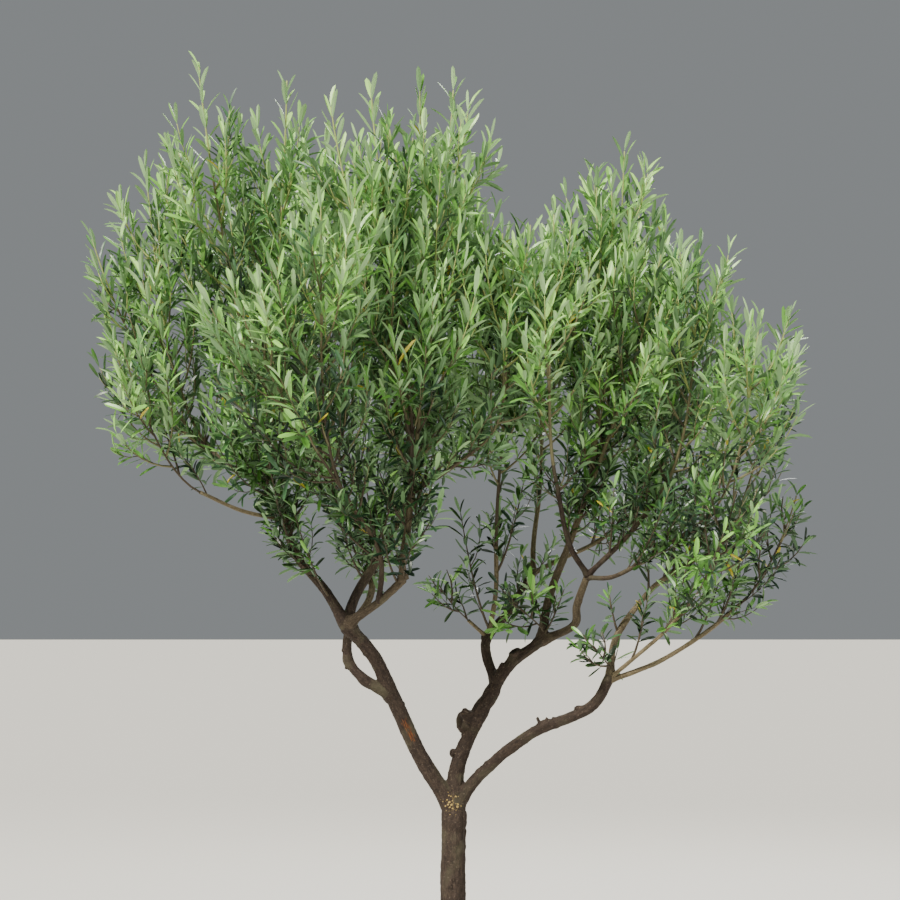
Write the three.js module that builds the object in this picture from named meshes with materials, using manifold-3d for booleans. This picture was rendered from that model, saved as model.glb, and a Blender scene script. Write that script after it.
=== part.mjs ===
// A young olive tree, whole and rooted in level ground. Millimetres, +Z up, and -Y faces the viewer.
// The origin is the middle of the trunk's flat cut at ground level.
// The group holds one named mesh for the trunk, one for each bough or limb, and one for each mass of foliage.

import * as THREE from 'three';
import Module from 'manifold-3d';

const wasm = await Module();
wasm.setup();

// Room left between pieces
const GAP = 0.35; // where one piece meets another
const SPACE_MARGIN = 3; // between the spaces of two masses

// Wood
const TRUNK_SIDES = 12;
const TRUNK_RINGS = 9; // closer together towards the ground, where the trunk flares
const TRUNK_CROWDING = 1.7;
const FLARE = 19; // how far the root flare stands out at the ground
const FLARE_HEIGHT = 60; // it falls off by a factor e in this height
const FLARE_LOBES = 5; // main roots that swell the flare
const LOBE_DEPTH = 0.28; // share of the flare that swells and sinks with the lobes
const LIMB_SIDES = 6;
const LIMB_STEP = 95; // a span longer than this has rings between its ends too

// Foliage. A leaf stands for a spray of the real leaves, which are about 60 long.
const LEAF_LENGTH = 165;
const LEAF_WIDTH = 54;
const LEAF_BROADEST = 0.45; // share of its length where it is broadest
const LEAF_FOLD = 1.4; // its edges hang this far under its root, so that it is folded along its middle
const LEAF_ROOT = 1.3; // half the width of its root, which is sunk in the middle of the twig
const LEAF_LIFT = 0.2; // how much it turns upwards
const STEM_SIDES = 3;
const STEM_STEP = 150; // length of stem between two rings
const STEM_RADII = [6.5, 4];
const STEM_PAIRS = [[0.05, 1.25], [0.16, 1.1], [0.8, 0.6], [0.95, 0.6]]; // place, and spread in radians
const TWIG_RADII = [5, 3.6];
const MOST_TWIGS = 13; // twigs are tried up and down the stem until the mass has its leaves
const LEAF_SHARE = 20; // length of stem to a leaf
const FEWEST_LEAVES = 14;
const MOST_LEAVES = 27;
const TWIG_LENGTH = 150; // at the stem's foot; half as long at its tip
const TWIG_OUT = [0.36, 0.1]; // its steps outwards, to its bend and on to its end, as shares of its length
const TWIG_ALONG = [0.3, 0.45]; // its steps along the stem
const TWIG_LIFT = 0.12; // how much its end turns upwards
const TWIG_PAIRS = [[0.4, 0.75], [0.85, 0.55]];
const PAIR_SIZE = 0.87; // leaves in pairs, against the leaf at a stem's end
const GOLDEN_ANGLE = THREE.MathUtils.degToRad(137.5);
const GOLDEN_SHARE = 0.618;
const QUARTER_TURN = Math.PI / 2;
const FINEST_EDGE = 0.02; // a shorter edge, where two pieces cross, closes up

const UP = new THREE.Vector3(0, 0, 1);

// The limbs, from the trunk outwards. Each starts on its parent's centreline, at a share of the parent's
// length, and runs through its points. Its radii are those at its root and at its tip.
const LIMBS = [];

function limb(name, on, at, radii, ...through) {
  LIMBS.push({ name, on, at, radii, through });
}

limb('trunk', null, 0, [26, 24], [0, 0, 120], [-2, 0, 350], [0, 0, 580]);
limb('left_bough', 'trunk', 0.97, [16, 13.5],
  [-66, -12, 664], [-122, -33, 784], [-168, -52, 882], [-224, -74, 949]);
limb('middle_bough', 'trunk', 0.98, [17, 10], [8, 4, 652], [55, 26, 756], [112, 42, 854], [184, 55, 910]);
limb('right_bough', 'trunk', 0.975, [12, 10],
  [58, -18, 637], [158, -44, 719], [288, -64, 781], [323, -72, 839]);
limb('left_outer_limb', 'left_bough', 1, [10, 7], [-270, -70, 1022], [-331, -55, 1096], [-353, -40, 1176]);
limb('left_long_limb', 'left_outer_limb', 1, [6, 4], [-402, -28, 1241], [-472, -12, 1283]);
limb('left_low_limb', 'left_outer_limb', 0.96, [4.5, 3.5], [-435, -120, 1183], [-519, -180, 1221]);
limb('left_back_limb', 'left_bough', 1, [10, 6], [-205, -35, 1007], [-165, 45, 1077], [-107, 150, 1188]);
limb('loop_limb', 'left_bough', 0.62, [11, 8.5],
  [-163, -40, 819], [-209, -26, 854], [-224, -8, 889], [-221, 10, 935]);
limb('left_rear_limb', 'loop_limb', 1, [7.5, 5], [-174, 70, 1018], [-221, 220, 1178]);
limb('left_front_limb', 'left_bough', 1, [8.5, 7.5], [-157, -118, 994], [-103, -158, 1043]);
limb('left_front_riser', 'left_front_limb', 1, [7.5, 6],
  [-106, -172, 1082], [-96, -186, 1137], [-88, -200, 1217]);
limb('crossing_limb', 'left_front_riser', 1, [4.5, 3.5], [-29, -192, 1254], [53, -160, 1314]);
limb('front_left_limb', 'left_front_limb', 0.55, [6, 4], [-151, -180, 1093], [-219, -280, 1213]);
limb('middle_left_limb', 'middle_bough', 0.68, [10, 8],
  [70, 66, 874], [68, 72, 910], [120, 115, 976], [170, 165, 1053]);
limb('rear_upright_limb', 'middle_left_limb', 1, [6, 4.5], [172, 185, 1120], [184, 215, 1205]);
limb('rear_right_limb', 'middle_left_limb', 1, [5.5, 4],
  [217, 205, 1076], [319, 260, 1124], [386, 290, 1179]);
limb('middle_upright_limb', 'middle_left_limb', 0.35, [5.5, 4.5],
  [79, 76, 950], [89, 66, 1018], [89, 48, 1113]);
limb('middle_spur', 'middle_left_limb', 0.36, [4, 3.5], [30, 62, 954]);
limb('middle_fork_limb', 'middle_bough', 1, [9, 6], [202, 50, 1005], [238, 28, 1103], [268, 10, 1185]);
limb('crown_right_limb', 'middle_fork_limb', 1, [4.5, 4], [296, 40, 1271]);
limb('right_knee_limb', 'middle_bough', 1, [8.5, 7], [255, 32, 947], [258, 14, 984], [280, -12, 1050]);
limb('dark_upright_limb', 'right_knee_limb', 1, [6, 4.5], [242, -45, 1111], [211, -95, 1245]);
limb('right_rising_limb', 'right_knee_limb', 1, [6, 4.5], [364, -65, 1136], [420, -92, 1208]);
limb('right_long_limb', 'right_knee_limb', 0.97, [5, 3.5],
  [333, -60, 1048], [444, -135, 1117], [502, -165, 1156]);
limb('right_inner_limb', 'right_bough', 1, [7, 4],
  [334, -60, 915], [398, -22, 1004], [435, 0, 1038], [536, 60, 1097]);
limb('right_middle_limb', 'right_bough', 0.99, [4.5, 3.5],
  [393, -125, 900], [425, -145, 929], [468, -175, 977]);
limb('right_low_limb', 'right_bough', 0.98, [5.5, 4],
  [377, -90, 853], [428, -95, 875], [524, -90, 935], [592, -75, 990]);

// The masses of foliage. Each grows from its limb's tip to a tip of its own, and spreads as wide as its room.
const MASSES = [];

function foliage(name, on, tip, room) {
  MASSES.push({ name: name + '_foliage', limb: on, tip, room });
}

foliage('far_left', 'left_long_limb', [-768, -20, 1784], 82);
foliage('left_shoulder', 'left_long_limb', [-661, 70, 1942], 150);
foliage('left_peak', 'left_outer_limb', [-542, 0, 2150], 170);
foliage('left_crest', 'left_outer_limb', [-349, -60, 2113], 170);
foliage('inner_left', 'left_outer_limb', [-430, -180, 1440], 150);
foliage('left_front', 'front_left_limb', [-440, -430, 1640], 175);
foliage('left_face', 'front_left_limb', [-265, -410, 1830], 185);
foliage('front_crest', 'left_front_riser', [-256, -180, 2041], 160);
foliage('inner_crest', 'left_front_riser', [-175, -80, 2094], 150);
foliage('centre_peak', 'left_front_riser', [0, -60, 2092], 170);
foliage('back_crest', 'left_back_limb', [-73, 150, 2142], 180);
foliage('back_centre', 'left_back_limb', [36, 390, 1898], 185);
foliage('rear_left', 'left_rear_limb', [-341, 390, 2032], 190);
foliage('rear_far_left', 'left_rear_limb', [-559, 340, 1873], 185);
foliage('low_left', 'left_low_limb', [-680, -240, 1549], 120);
foliage('bridge', 'crossing_limb', [101, -120, 1787], 170);
foliage('spur', 'middle_spur', [-46, 40, 1060], 90);
foliage('middle_tuft', 'middle_bough', [105, -60, 1030], 110);
foliage('rear_middle', 'rear_upright_limb', [178, 310, 1737], 180);
foliage('rear_right', 'rear_right_limb', [542, 350, 1652], 180);
foliage('rear_peak', 'rear_right_limb', [410, 340, 1873], 180);
foliage('middle', 'middle_upright_limb', [140, 30, 1802], 150);
foliage('right_crest', 'middle_fork_limb', [300, -20, 1915], 150);
foliage('right_peak', 'crown_right_limb', [364, 60, 1980], 150);
foliage('right_face', 'middle_fork_limb', [434, -150, 1761], 160);
foliage('dark_limb', 'dark_upright_limb', [206, -140, 1824], 160);
foliage('right_shoulder', 'right_rising_limb', [511, -110, 1754], 150);
foliage('right_outer', 'right_long_limb', [625, -220, 1600], 160);
foliage('far_right', 'right_inner_limb', [700, 120, 1565], 115);
foliage('low_front', 'right_middle_limb', [570, -320, 1250], 140);
foliage('low_right', 'right_low_limb', [720, -60, 1245], 85);
foliage('fork_tuft', 'right_bough', [276, -125, 930], 80);

const vector = (point) => new THREE.Vector3(...point);

// Even random numbers from 0 to 1, the same ones each time for the same seed.
function seededRandom(seed) {
  let state = seed;
  return () => {
    state = (state + 0x6d2b79f5) | 0;
    let t = Math.imul(state ^ (state >>> 15), 1 | state);
    t = (t + Math.imul(t ^ (t >>> 7), 61 | t)) ^ t;
    return ((t ^ (t >>> 14)) >>> 0) / 4294967296;
  };
}

function solidOf(points, triangles) {
  const vertProperties = new Float32Array(points.flatMap((point) => point.toArray()));
  const triVerts = new Uint32Array(triangles);
  return new wasm.Manifold(new wasm.Mesh({ numProp: 3, vertProperties, triVerts, tolerance: FINEST_EDGE }));
}

// The main body of a solid: loose scrap is dropped, and a hollow that was sealed inside is filled.
function mainBody(solid) {
  return solid.decompose().sort((a, b) => b.volume() - a.volume())[0];
}

const joined = (solids) => solids.reduce((sum, solid) => sum.add(solid));

// A direction square to the tangent, at an azimuth round it.
function outward(tangent, azimuth) {
  const side = Math.abs(tangent.x) < 0.9 ? new THREE.Vector3(1, 0, 0) : new THREE.Vector3(0, 1, 0);
  const a = new THREE.Vector3().crossVectors(tangent, side).normalize();
  const b = new THREE.Vector3().crossVectors(tangent, a);
  return a.multiplyScalar(Math.cos(azimuth)).addScaledVector(b, Math.sin(azimuth));
}

// The shares of a stem's length where the tube round it has its rings, which are about a step apart.
function evenShares(curve, step) {
  const rings = Math.max(2, Math.round(curve.getLength() / step));
  return Array.from({ length: rings + 1 }, (_, i) => i / rings);
}

// The same for a limb: it has a ring at each point that it runs through, so that its bends stay in place.
function sharesThroughPoints(curve) {
  const lengths = curve.getLengths();
  const spans = curve.points.length - 1;
  const shares = [0];
  for (let i = 1; i <= spans; i++) {
    const from = shares.at(-1);
    const to = lengths[Math.round((i / spans) * (lengths.length - 1))] / lengths.at(-1);
    const rings = Math.max(1, Math.round(((to - from) * lengths.at(-1)) / LIMB_STEP));
    for (let k = 1; k <= rings; k++) shares.push(from + ((to - from) * k) / rings);
  }
  return shares;
}

// The curve's tangents at those shares, and normals that turn as little as they can from one to the next.
function framesOf(curve, shares) {
  const tangents = shares.map((share) => curve.getTangentAt(share));
  const normals = [];
  for (const tangent of tangents) {
    const before = normals.length ? normals.at(-1).clone() : outward(tangent, 0);
    normals.push(before.addScaledVector(tangent, -before.dot(tangent)).normalize());
  }
  return { tangents, normals };
}

// A closed tube of flat faces round a curve. radiusAt takes the share of the length and the angle round it.
// fat makes it thicker on each face and longer at each end. blade ends it in a leaf of that length.
function tubeSolid(curve, radiusAt, sides, shares, { fat = 0, blade = 0 } = {}) {
  const { tangents, normals } = framesOf(curve, shares);
  const points = [];
  const triangles = [];
  shares.forEach((share, i) => {
    const centre = curve.getPointAt(share);
    if (share === 0) centre.addScaledVector(tangents[i], -fat);
    if (share === 1) centre.addScaledVector(tangents[i], fat);
    for (let k = 0; k < sides; k++) {
      const angle = (2 * Math.PI * k) / sides;
      const radius = radiusAt(share, angle) + fat / Math.cos(Math.PI / sides);
      const out = normals[i].clone().applyAxisAngle(tangents[i], angle);
      points.push(centre.clone().addScaledVector(out, radius));
    }
  });
  const last = points.length - sides;
  for (let ring = 0; ring < last; ring += sides)
    for (let k = 0; k < sides; k++) {
      const a = ring + k;
      const b = ring + ((k + 1) % sides);
      triangles.push(a, b, b + sides, a, b + sides, a + sides);
    }
  for (let k = 1; k < sides - 1; k++) triangles.push(0, k + 1, k);
  if (blade) {
    points.push(...bladePoints(curve.getPointAt(1), tangents.at(-1), normals.at(-1), blade));
    triangles.push(...BLADE.map((corner) => last + corner));
  } else for (let k = 1; k < sides - 1; k++) triangles.push(last, last + k, last + k + 1);
  return solidOf(points, triangles);
}

// A leaf has six corners: three at its root, with one above two, two edges where it is broadest, and its tip.
const BLADE = [0, 1, 3, 0, 3, 5, 0, 5, 4, 0, 4, 2, 1, 2, 4, 1, 4, 3, 3, 4, 5];
const ROOT_FACE = [0, 2, 1];

function bladePoints(root, along, upper, length) {
  const side = new THREE.Vector3().crossVectors(upper, along).normalize();
  const width = length * (LEAF_WIDTH / LEAF_LENGTH);
  const at = (forward, across, rise) =>
    root.clone().addScaledVector(along, forward).addScaledVector(side, across).addScaledVector(upper, rise);
  const broadest = length * LEAF_BROADEST;
  return [at(broadest, -width / 2, -LEAF_FOLD), at(broadest, width / 2, -LEAF_FOLD), at(length, 0, 0)];
}

const tapered = (root, tip) => (share) => THREE.MathUtils.lerp(root, tip, share);

// The limbs' centrelines, from the trunk outwards
const curves = {};
for (const { name, on, at, through } of LIMBS) {
  const start = on ? curves[on].getPointAt(at) : new THREE.Vector3();
  curves[name] = new THREE.CatmullRomCurve3([start, ...through.map(vector)], false, 'centripetal');
}

// The trunk tapers, and its main roots swell it just above the ground. Its foot is one flat face at z = 0.
function trunkSolid({ name, radii }, fat) {
  const curve = curves[name];
  const shares = Array.from({ length: TRUNK_RINGS }, (_, i) => (i / (TRUNK_RINGS - 1)) ** TRUNK_CROWDING);
  const taper = tapered(...radii);
  const radiusAt = (share, angle) => {
    const flare = FLARE * Math.exp((-share * curve.getLength()) / FLARE_HEIGHT);
    return taper(share) + flare * (1 + LOBE_DEPTH * Math.cos(FLARE_LOBES * angle));
  };
  return tubeSolid(curve, radiusAt, TRUNK_SIDES, shares, { fat });
}

function limbSolid(piece, fat = 0) {
  if (!piece.on) return trunkSolid(piece, fat);
  const curve = curves[piece.name];
  return tubeSolid(curve, tapered(...piece.radii), LIMB_SIDES, sharesThroughPoints(curve), { fat });
}

// Each limb is cut clear of its parent and of the limbs before it, so that they meet with a gap.
const wood = [];
for (const piece of LIMBS) {
  const cut = wood.reduce((solid, earlier) => solid.subtract(earlier.fat), limbSolid(piece));
  wood.push({ solid: mainBody(cut), fat: limbSolid(piece, GAP) });
}
const allWood = joined(wood.map((piece) => piece.fat));

// A mass's stem leaves its limb in the limb's own direction and turns upright towards its tip.
function stemCurve(mass) {
  const bough = curves[mass.limb];
  const foot = bough.getPointAt(1);
  const tip = vector(mass.tip);
  const reach = foot.distanceTo(tip);
  const leaning = tip.clone().sub(foot).normalize().add(UP).normalize();
  const first = foot.clone().addScaledVector(bough.getTangentAt(1), reach * 0.25);
  const second = tip.clone().addScaledVector(leaning, -reach * 0.35);
  return new THREE.CubicBezierCurve3(foot, first, second, tip);
}

// The space round a stem: it swells from the foot and draws in to the tip.
const swell = (share) => Math.sin(Math.PI * (0.28 + 0.6 * share)) ** 0.6;
const SPACE_STEPS = 12;

function spaceOf(mass, curve) {
  const spheres = [];
  for (let i = 0; i <= SPACE_STEPS; i++) {
    const share = i / SPACE_STEPS;
    spheres.push({ centre: curve.getPointAt(share), radius: mass.room * swell(share) });
  }
  return spheres;
}

const depthIn = (space, point) =>
  Math.min(...space.map((sphere) => point.distanceTo(sphere.centre) - sphere.radius));

const stems = MASSES.map((mass, index) => {
  const whole = stemCurve(mass);
  const leafLength = Math.min(LEAF_LENGTH, whole.getLength() * 0.5);
  const points = [];
  for (let i = 0; i <= SPACE_STEPS; i++)
    points.push(whole.getPointAt((i / SPACE_STEPS) * (1 - leafLength / whole.getLength())));
  const curve = new THREE.CatmullRomCurve3(points, false, 'centripetal');
  return { ...mass, index, curve, leafLength, space: spaceOf(mass, whole) };
});

// A stem ends in a leaf, and is cut clear of the limbs and of an earlier stem on the same limb.
for (const stem of stems) {
  const shares = evenShares(stem.curve, STEM_STEP);
  const earlier = stems.slice(0, stem.index).filter((other) => other.limb === stem.limb);
  const cutters = [allWood, ...earlier.map((other) => other.fat)];
  const uncut = tubeSolid(stem.curve, tapered(...STEM_RADII), STEM_SIDES, shares, { blade: stem.leafLength });
  stem.fat = tubeSolid(stem.curve, tapered(...STEM_RADII), STEM_SIDES, shares, { fat: GAP });
  stem.solid = mainBody(cutters.reduce((solid, cutter) => solid.subtract(cutter), uncut));
}

// True where every point is in the mass's own space: deeper in it than in any other by the margin.
function keepsToSpace(stem, points) {
  return points.every((point) => {
    const own = depthIn(stem.space, point);
    const clear = (other) => other === stem || own < depthIn(other.space, point) - SPACE_MARGIN;
    return own < 0 && stems.every(clear);
  });
}

// A leaf of 8 faces whose upper side faces up the twig, and points on its edges to try its place with.
function leaf(root, direction, tangent, length) {
  const along = direction.clone().normalize();
  const upper = tangent.clone().addScaledVector(along, -tangent.dot(along)).normalize();
  const side = new THREE.Vector3().crossVectors(upper, along);
  const foot = [[0, 1], [-1, -1], [1, -1]].map(([across, rise]) =>
    root.clone().addScaledVector(side, across * LEAF_ROOT).addScaledVector(upper, rise * LEAF_ROOT));
  const blade = bladePoints(root, along, upper, length);
  const solid = solidOf([...foot, ...blade], [...ROOT_FACE, ...BLADE]);
  return { solid, samples: bladeSamples(root, blade) };
}

function bladeSamples(root, [left, right, tip]) {
  const edges = [[root, left], [root, right], [left, tip], [right, tip]];
  return [0.4, 0.7, 1].flatMap((share) => edges.map(([from, to]) => from.clone().lerp(to, share)));
}

// A twig leaves the stem sideways and turns up along it.
function twigCurve(stem, share, azimuth, length) {
  const foot = stem.curve.getPointAt(share);
  const tangent = stem.curve.getTangentAt(share);
  const out = outward(tangent, azimuth);
  const step = (from, i) =>
    from.clone().addScaledVector(out, length * TWIG_OUT[i]).addScaledVector(tangent, length * TWIG_ALONG[i]);
  const bend = step(foot, 0);
  return new THREE.QuadraticBezierCurve3(foot, bend, step(bend, 1).addScaledVector(UP, length * TWIG_LIFT));
}

// A mass: its stem, twigs in a spiral round it, and leaves in pairs along each twig and at its end.
function growMass(stem) {
  const random = seededRandom(101 + stem.index);
  const others = joined([allWood, ...stems.filter((other) => other !== stem).map((other) => other.fat)]);
  const pieces = [{ grownAt: stem.curve, solid: stem.solid }];
  let whole = stem.solid;
  let leaves = 1;

  // A twig or leaf is skipped where it leaves the space, meets a limb, or meets a piece it doesn't grow with.
  function tryPiece(solid, samples, grownAt, growsWith) {
    if (!keepsToSpace(stem, samples) || !solid.intersect(others).isEmpty()) return false;
    const strangers = pieces.filter((piece) => !growsWith.includes(piece.grownAt));
    if (strangers.some((piece) => !piece.solid.intersect(solid).isEmpty())) return false;
    pieces.push({ grownAt, solid });
    whole = whole.add(solid);
    leaves += 1;
    return true;
  }

  function tryPair(curve, share, spread, azimuth) {
    const node = {};
    const tangent = curve.getTangentAt(share);
    for (const turn of [0, Math.PI]) {
      const out = outward(tangent, azimuth + turn + 0.5 * (random() - 0.5));
      const direction = tangent.clone().multiplyScalar(Math.cos(spread));
      direction.addScaledVector(out, Math.sin(spread)).addScaledVector(UP, LEAF_LIFT);
      const length = stem.leafLength * PAIR_SIZE * (0.88 + 0.24 * random());
      const made = leaf(curve.getPointAt(share), direction, tangent, length);
      tryPiece(made.solid, made.samples, node, [curve, node]);
    }
  }

  function tryTwig(share, azimuth) {
    const size = (1 - 0.5 * share) * (0.8 + 0.4 * random()) * (stem.leafLength / LEAF_LENGTH);
    const twig = twigCurve(stem, share, azimuth, TWIG_LENGTH * size);
    const shares = [0, 0.5, 1];
    const solid = tubeSolid(twig, tapered(...TWIG_RADII), STEM_SIDES, shares, { blade: stem.leafLength });
    const { tangents, normals } = framesOf(twig, shares);
    const blade = bladePoints(twig.v2, tangents.at(-1), normals.at(-1), stem.leafLength);
    const samples = [...twig.getSpacedPoints(4).slice(1), ...bladeSamples(twig.v2, blade)];
    if (!tryPiece(solid, samples, twig, [stem.curve])) return;
    TWIG_PAIRS.forEach(([place, spread], i) => {
      tryPair(twig, place, spread, azimuth + (i + 1) * QUARTER_TURN);
    });
  }

  const wanted = THREE.MathUtils.clamp(stem.curve.getLength() / LEAF_SHARE, FEWEST_LEAVES, MOST_LEAVES);
  for (const [place, spread] of STEM_PAIRS) tryPair(stem.curve, place, spread, 2 * Math.PI * random());
  for (let k = 1; k <= MOST_TWIGS && leaves < wanted; k++)
    tryTwig(0.04 + 0.92 * ((k * GOLDEN_SHARE) % 1), k * GOLDEN_ANGLE + 0.8 * random());
  return mainBody(whole);
}

// Finishes
const BARK = new THREE.MeshStandardMaterial({ color: 0x5b5044, roughness: 0.9, metalness: 0 });
const YOUNG_BARK = new THREE.MeshStandardMaterial({ color: 0x7b7d62, roughness: 0.8, metalness: 0 });
const LEAVES = [0x7f9a68, 0x8aa674, 0x6c8758].map(
  (color) => new THREE.MeshStandardMaterial({ color, roughness: 0.55, metalness: 0 }),
);
const YOUNG_BARK_RADIUS = 6; // limbs thinner than this at the root have pale young bark

function meshOf(name, solid, material) {
  const { vertProperties, triVerts } = solid.getMesh();
  const geometry = new THREE.BufferGeometry();
  geometry.setAttribute('position', new THREE.BufferAttribute(vertProperties, 3));
  geometry.setIndex(new THREE.BufferAttribute(triVerts, 1));
  geometry.computeVertexNormals();
  const mesh = new THREE.Mesh(geometry, material);
  mesh.name = name;
  return mesh;
}

const tree = new THREE.Group();
tree.name = 'olive_tree';
LIMBS.forEach(({ name, radii }, index) => {
  tree.add(meshOf(name, wood[index].solid, radii[0] < YOUNG_BARK_RADIUS ? YOUNG_BARK : BARK));
});
for (const stem of stems) tree.add(meshOf(stem.name, growMass(stem), LEAVES[stem.index % LEAVES.length]));

export default tree;
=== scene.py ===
# %% [markdown]
# # A young olive tree
#
# The real tree was planted out a few years ago. Its trunk is as thick as a wrist and forks low into three
# boughs, and pruning has opened the crown in the middle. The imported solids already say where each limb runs
# and how far each mass of foliage reaches, and Blender makes only the looks. So the first step is to load
# the solids as a frame, in metres, with +Z up, -Y towards the viewer and the origin at the foot of the
# trunk.

import itertools
import math

import bpy
import numpy as np
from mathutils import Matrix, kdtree


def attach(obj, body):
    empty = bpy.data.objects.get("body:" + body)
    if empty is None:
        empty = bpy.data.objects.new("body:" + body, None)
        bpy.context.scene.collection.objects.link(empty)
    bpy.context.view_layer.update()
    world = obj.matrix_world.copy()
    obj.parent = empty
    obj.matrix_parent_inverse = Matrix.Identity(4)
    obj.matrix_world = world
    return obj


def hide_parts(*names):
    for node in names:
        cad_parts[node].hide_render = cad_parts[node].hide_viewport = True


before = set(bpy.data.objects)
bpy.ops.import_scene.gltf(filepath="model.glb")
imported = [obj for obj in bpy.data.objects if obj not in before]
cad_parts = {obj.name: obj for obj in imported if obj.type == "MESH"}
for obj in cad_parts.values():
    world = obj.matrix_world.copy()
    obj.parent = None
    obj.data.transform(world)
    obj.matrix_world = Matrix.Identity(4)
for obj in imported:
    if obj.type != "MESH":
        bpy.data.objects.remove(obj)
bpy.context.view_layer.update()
MM = 0.001
UP = np.array([0.0, 0.0, 1.0])

# %% [markdown]
# ## Lines through space
#
# Everything on the tree follows a line. A Path is such a line, kept as closely spaced points and read by
# shares of its length, so that "halfway along" means the same on each. Limbs pass through the points that
# they are given, as a centripetal Catmull-Rom curve does without overshooting. Shoots are Bezier curves,
# which need only a foot, a bend or two and a tip.

# %% Paths
def unit(vectors):
    vectors = np.asarray(vectors, float)
    return vectors / np.linalg.norm(vectors, axis=-1, keepdims=True)


class Path:
    def __init__(self, points):
        self.points = np.asarray(points, float)
        steps = np.linalg.norm(np.diff(self.points, axis=0), axis=1)
        self.along = np.concatenate([[0.0], np.cumsum(steps)])
        self.length = self.along[-1]

    def at(self, share):
        reach = np.asarray(share, float) * self.length
        return np.stack([np.interp(reach, self.along, self.points[:, axis]) for axis in range(3)], axis=-1)

    def tangent(self, share, reach=0.01):
        share = np.asarray(share, float)
        return unit(self.at(np.minimum(share + reach, 1)) - self.at(np.maximum(share - reach, 0)))


def through(points, samples=24):
    points = [np.asarray(point, float) for point in points]
    points = [2 * points[0] - points[1], *points, 2 * points[-1] - points[-2]]
    t = np.linspace(0, 1, samples, endpoint=False)[:, None]
    line = []
    for a, b, c, d in zip(points, points[1:], points[2:], points[3:]):
        before, span, after = (math.sqrt(np.linalg.norm(q - p)) for p, q in ((a, b), (b, c), (c, d)))
        leave = ((b - a) / before - (c - a) / (before + span) + (c - b) / span) * span
        arrive = ((c - b) / span - (d - b) / (span + after) + (d - c) / after) * span
        line.append((2 * t**3 - 3 * t**2 + 1) * b + (t**3 - 2 * t**2 + t) * leave
                    + (3 * t**2 - 2 * t**3) * c + (t**3 - t**2) * arrive)
    return Path(np.vstack([*line, points[-2]]))


def bezier(*corners, samples=24):
    t = np.linspace(0, 1, samples + 1)[:, None]
    lines = [np.asarray(corner, float) + 0 * t for corner in corners]
    while len(lines) > 1:
        lines = [p * (1 - t) + q * t for p, q in zip(lines, lines[1:])]
    return Path(lines[0])


def outward(tangent, azimuth):
    """A direction square to a tangent, turned round it by an azimuth."""
    side = np.array([1.0, 0, 0]) if abs(tangent[0]) < 0.9 else np.array([0, 1.0, 0])
    a = unit(np.cross(tangent, side))
    return a * math.cos(azimuth) + np.cross(tangent, a) * math.sin(azimuth)


# %% [markdown]
# ## The limbs
#
# These are the solids' own limbs. Each but the trunk starts on the centreline of the limb that bears it, at
# a share of that limb's length, and runs through a few points. Its two radii are those at its root and at
# its tip. Points and radii are in millimetres.

# %% The limbs' centrelines
LIMBS = {}


def limb(name, on, at, radii, *points):
    start = LIMBS[on]["path"].at(at) if on else np.zeros(3)
    path = through([start, *(np.array(point) * MM for point in points)])
    LIMBS[name] = {"on": on, "radii": np.array(radii) * MM, "path": path}


limb("trunk", None, 0, [26, 24], [0, 0, 120], [-2, 0, 350], [0, 0, 580])
limb("left_bough", "trunk", 0.97, [16, 13.5], [-66, -12, 664], [-122, -33, 784], [-168, -52, 882],
     [-224, -74, 949])
limb("middle_bough", "trunk", 0.98, [17, 10], [8, 4, 652], [55, 26, 756], [112, 42, 854], [184, 55, 910])
limb("right_bough", "trunk", 0.975, [12, 10], [58, -18, 637], [158, -44, 719], [288, -64, 781],
     [323, -72, 839])
limb("left_outer_limb", "left_bough", 1, [10, 7], [-270, -70, 1022], [-331, -55, 1096], [-353, -40, 1176])
limb("left_long_limb", "left_outer_limb", 1, [6, 4], [-402, -28, 1241], [-472, -12, 1283])
limb("left_low_limb", "left_outer_limb", 0.96, [4.5, 3.5], [-435, -120, 1183], [-519, -180, 1221])
limb("left_back_limb", "left_bough", 1, [10, 6], [-205, -35, 1007], [-165, 45, 1077], [-107, 150, 1188])
limb("loop_limb", "left_bough", 0.62, [11, 8.5], [-163, -40, 819], [-209, -26, 854], [-224, -8, 889],
     [-221, 10, 935])
limb("left_rear_limb", "loop_limb", 1, [7.5, 5], [-174, 70, 1018], [-221, 220, 1178])
limb("left_front_limb", "left_bough", 1, [8.5, 7.5], [-157, -118, 994], [-103, -158, 1043])
limb("left_front_riser", "left_front_limb", 1, [7.5, 6], [-106, -172, 1082], [-96, -186, 1137],
     [-88, -200, 1217])
limb("crossing_limb", "left_front_riser", 1, [4.5, 3.5], [-29, -192, 1254], [53, -160, 1314])
limb("front_left_limb", "left_front_limb", 0.55, [6, 4], [-151, -180, 1093], [-219, -280, 1213])
limb("middle_left_limb", "middle_bough", 0.68, [10, 8], [70, 66, 874], [68, 72, 910], [120, 115, 976],
     [170, 165, 1053])
limb("rear_upright_limb", "middle_left_limb", 1, [6, 4.5], [172, 185, 1120], [184, 215, 1205])
limb("rear_right_limb", "middle_left_limb", 1, [5.5, 4], [217, 205, 1076], [319, 260, 1124], [386, 290, 1179])
limb("middle_upright_limb", "middle_left_limb", 0.35, [5.5, 4.5], [79, 76, 950], [89, 66, 1018],
     [89, 48, 1113])
limb("middle_spur", "middle_left_limb", 0.36, [4, 3.5], [30, 62, 954])
limb("middle_fork_limb", "middle_bough", 1, [9, 6], [202, 50, 1005], [238, 28, 1103], [268, 10, 1185])
limb("crown_right_limb", "middle_fork_limb", 1, [4.5, 4], [296, 40, 1271])
limb("right_knee_limb", "middle_bough", 1, [8.5, 7], [255, 32, 947], [258, 14, 984], [280, -12, 1050])
limb("dark_upright_limb", "right_knee_limb", 1, [6, 4.5], [242, -45, 1111], [211, -95, 1245])
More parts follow.
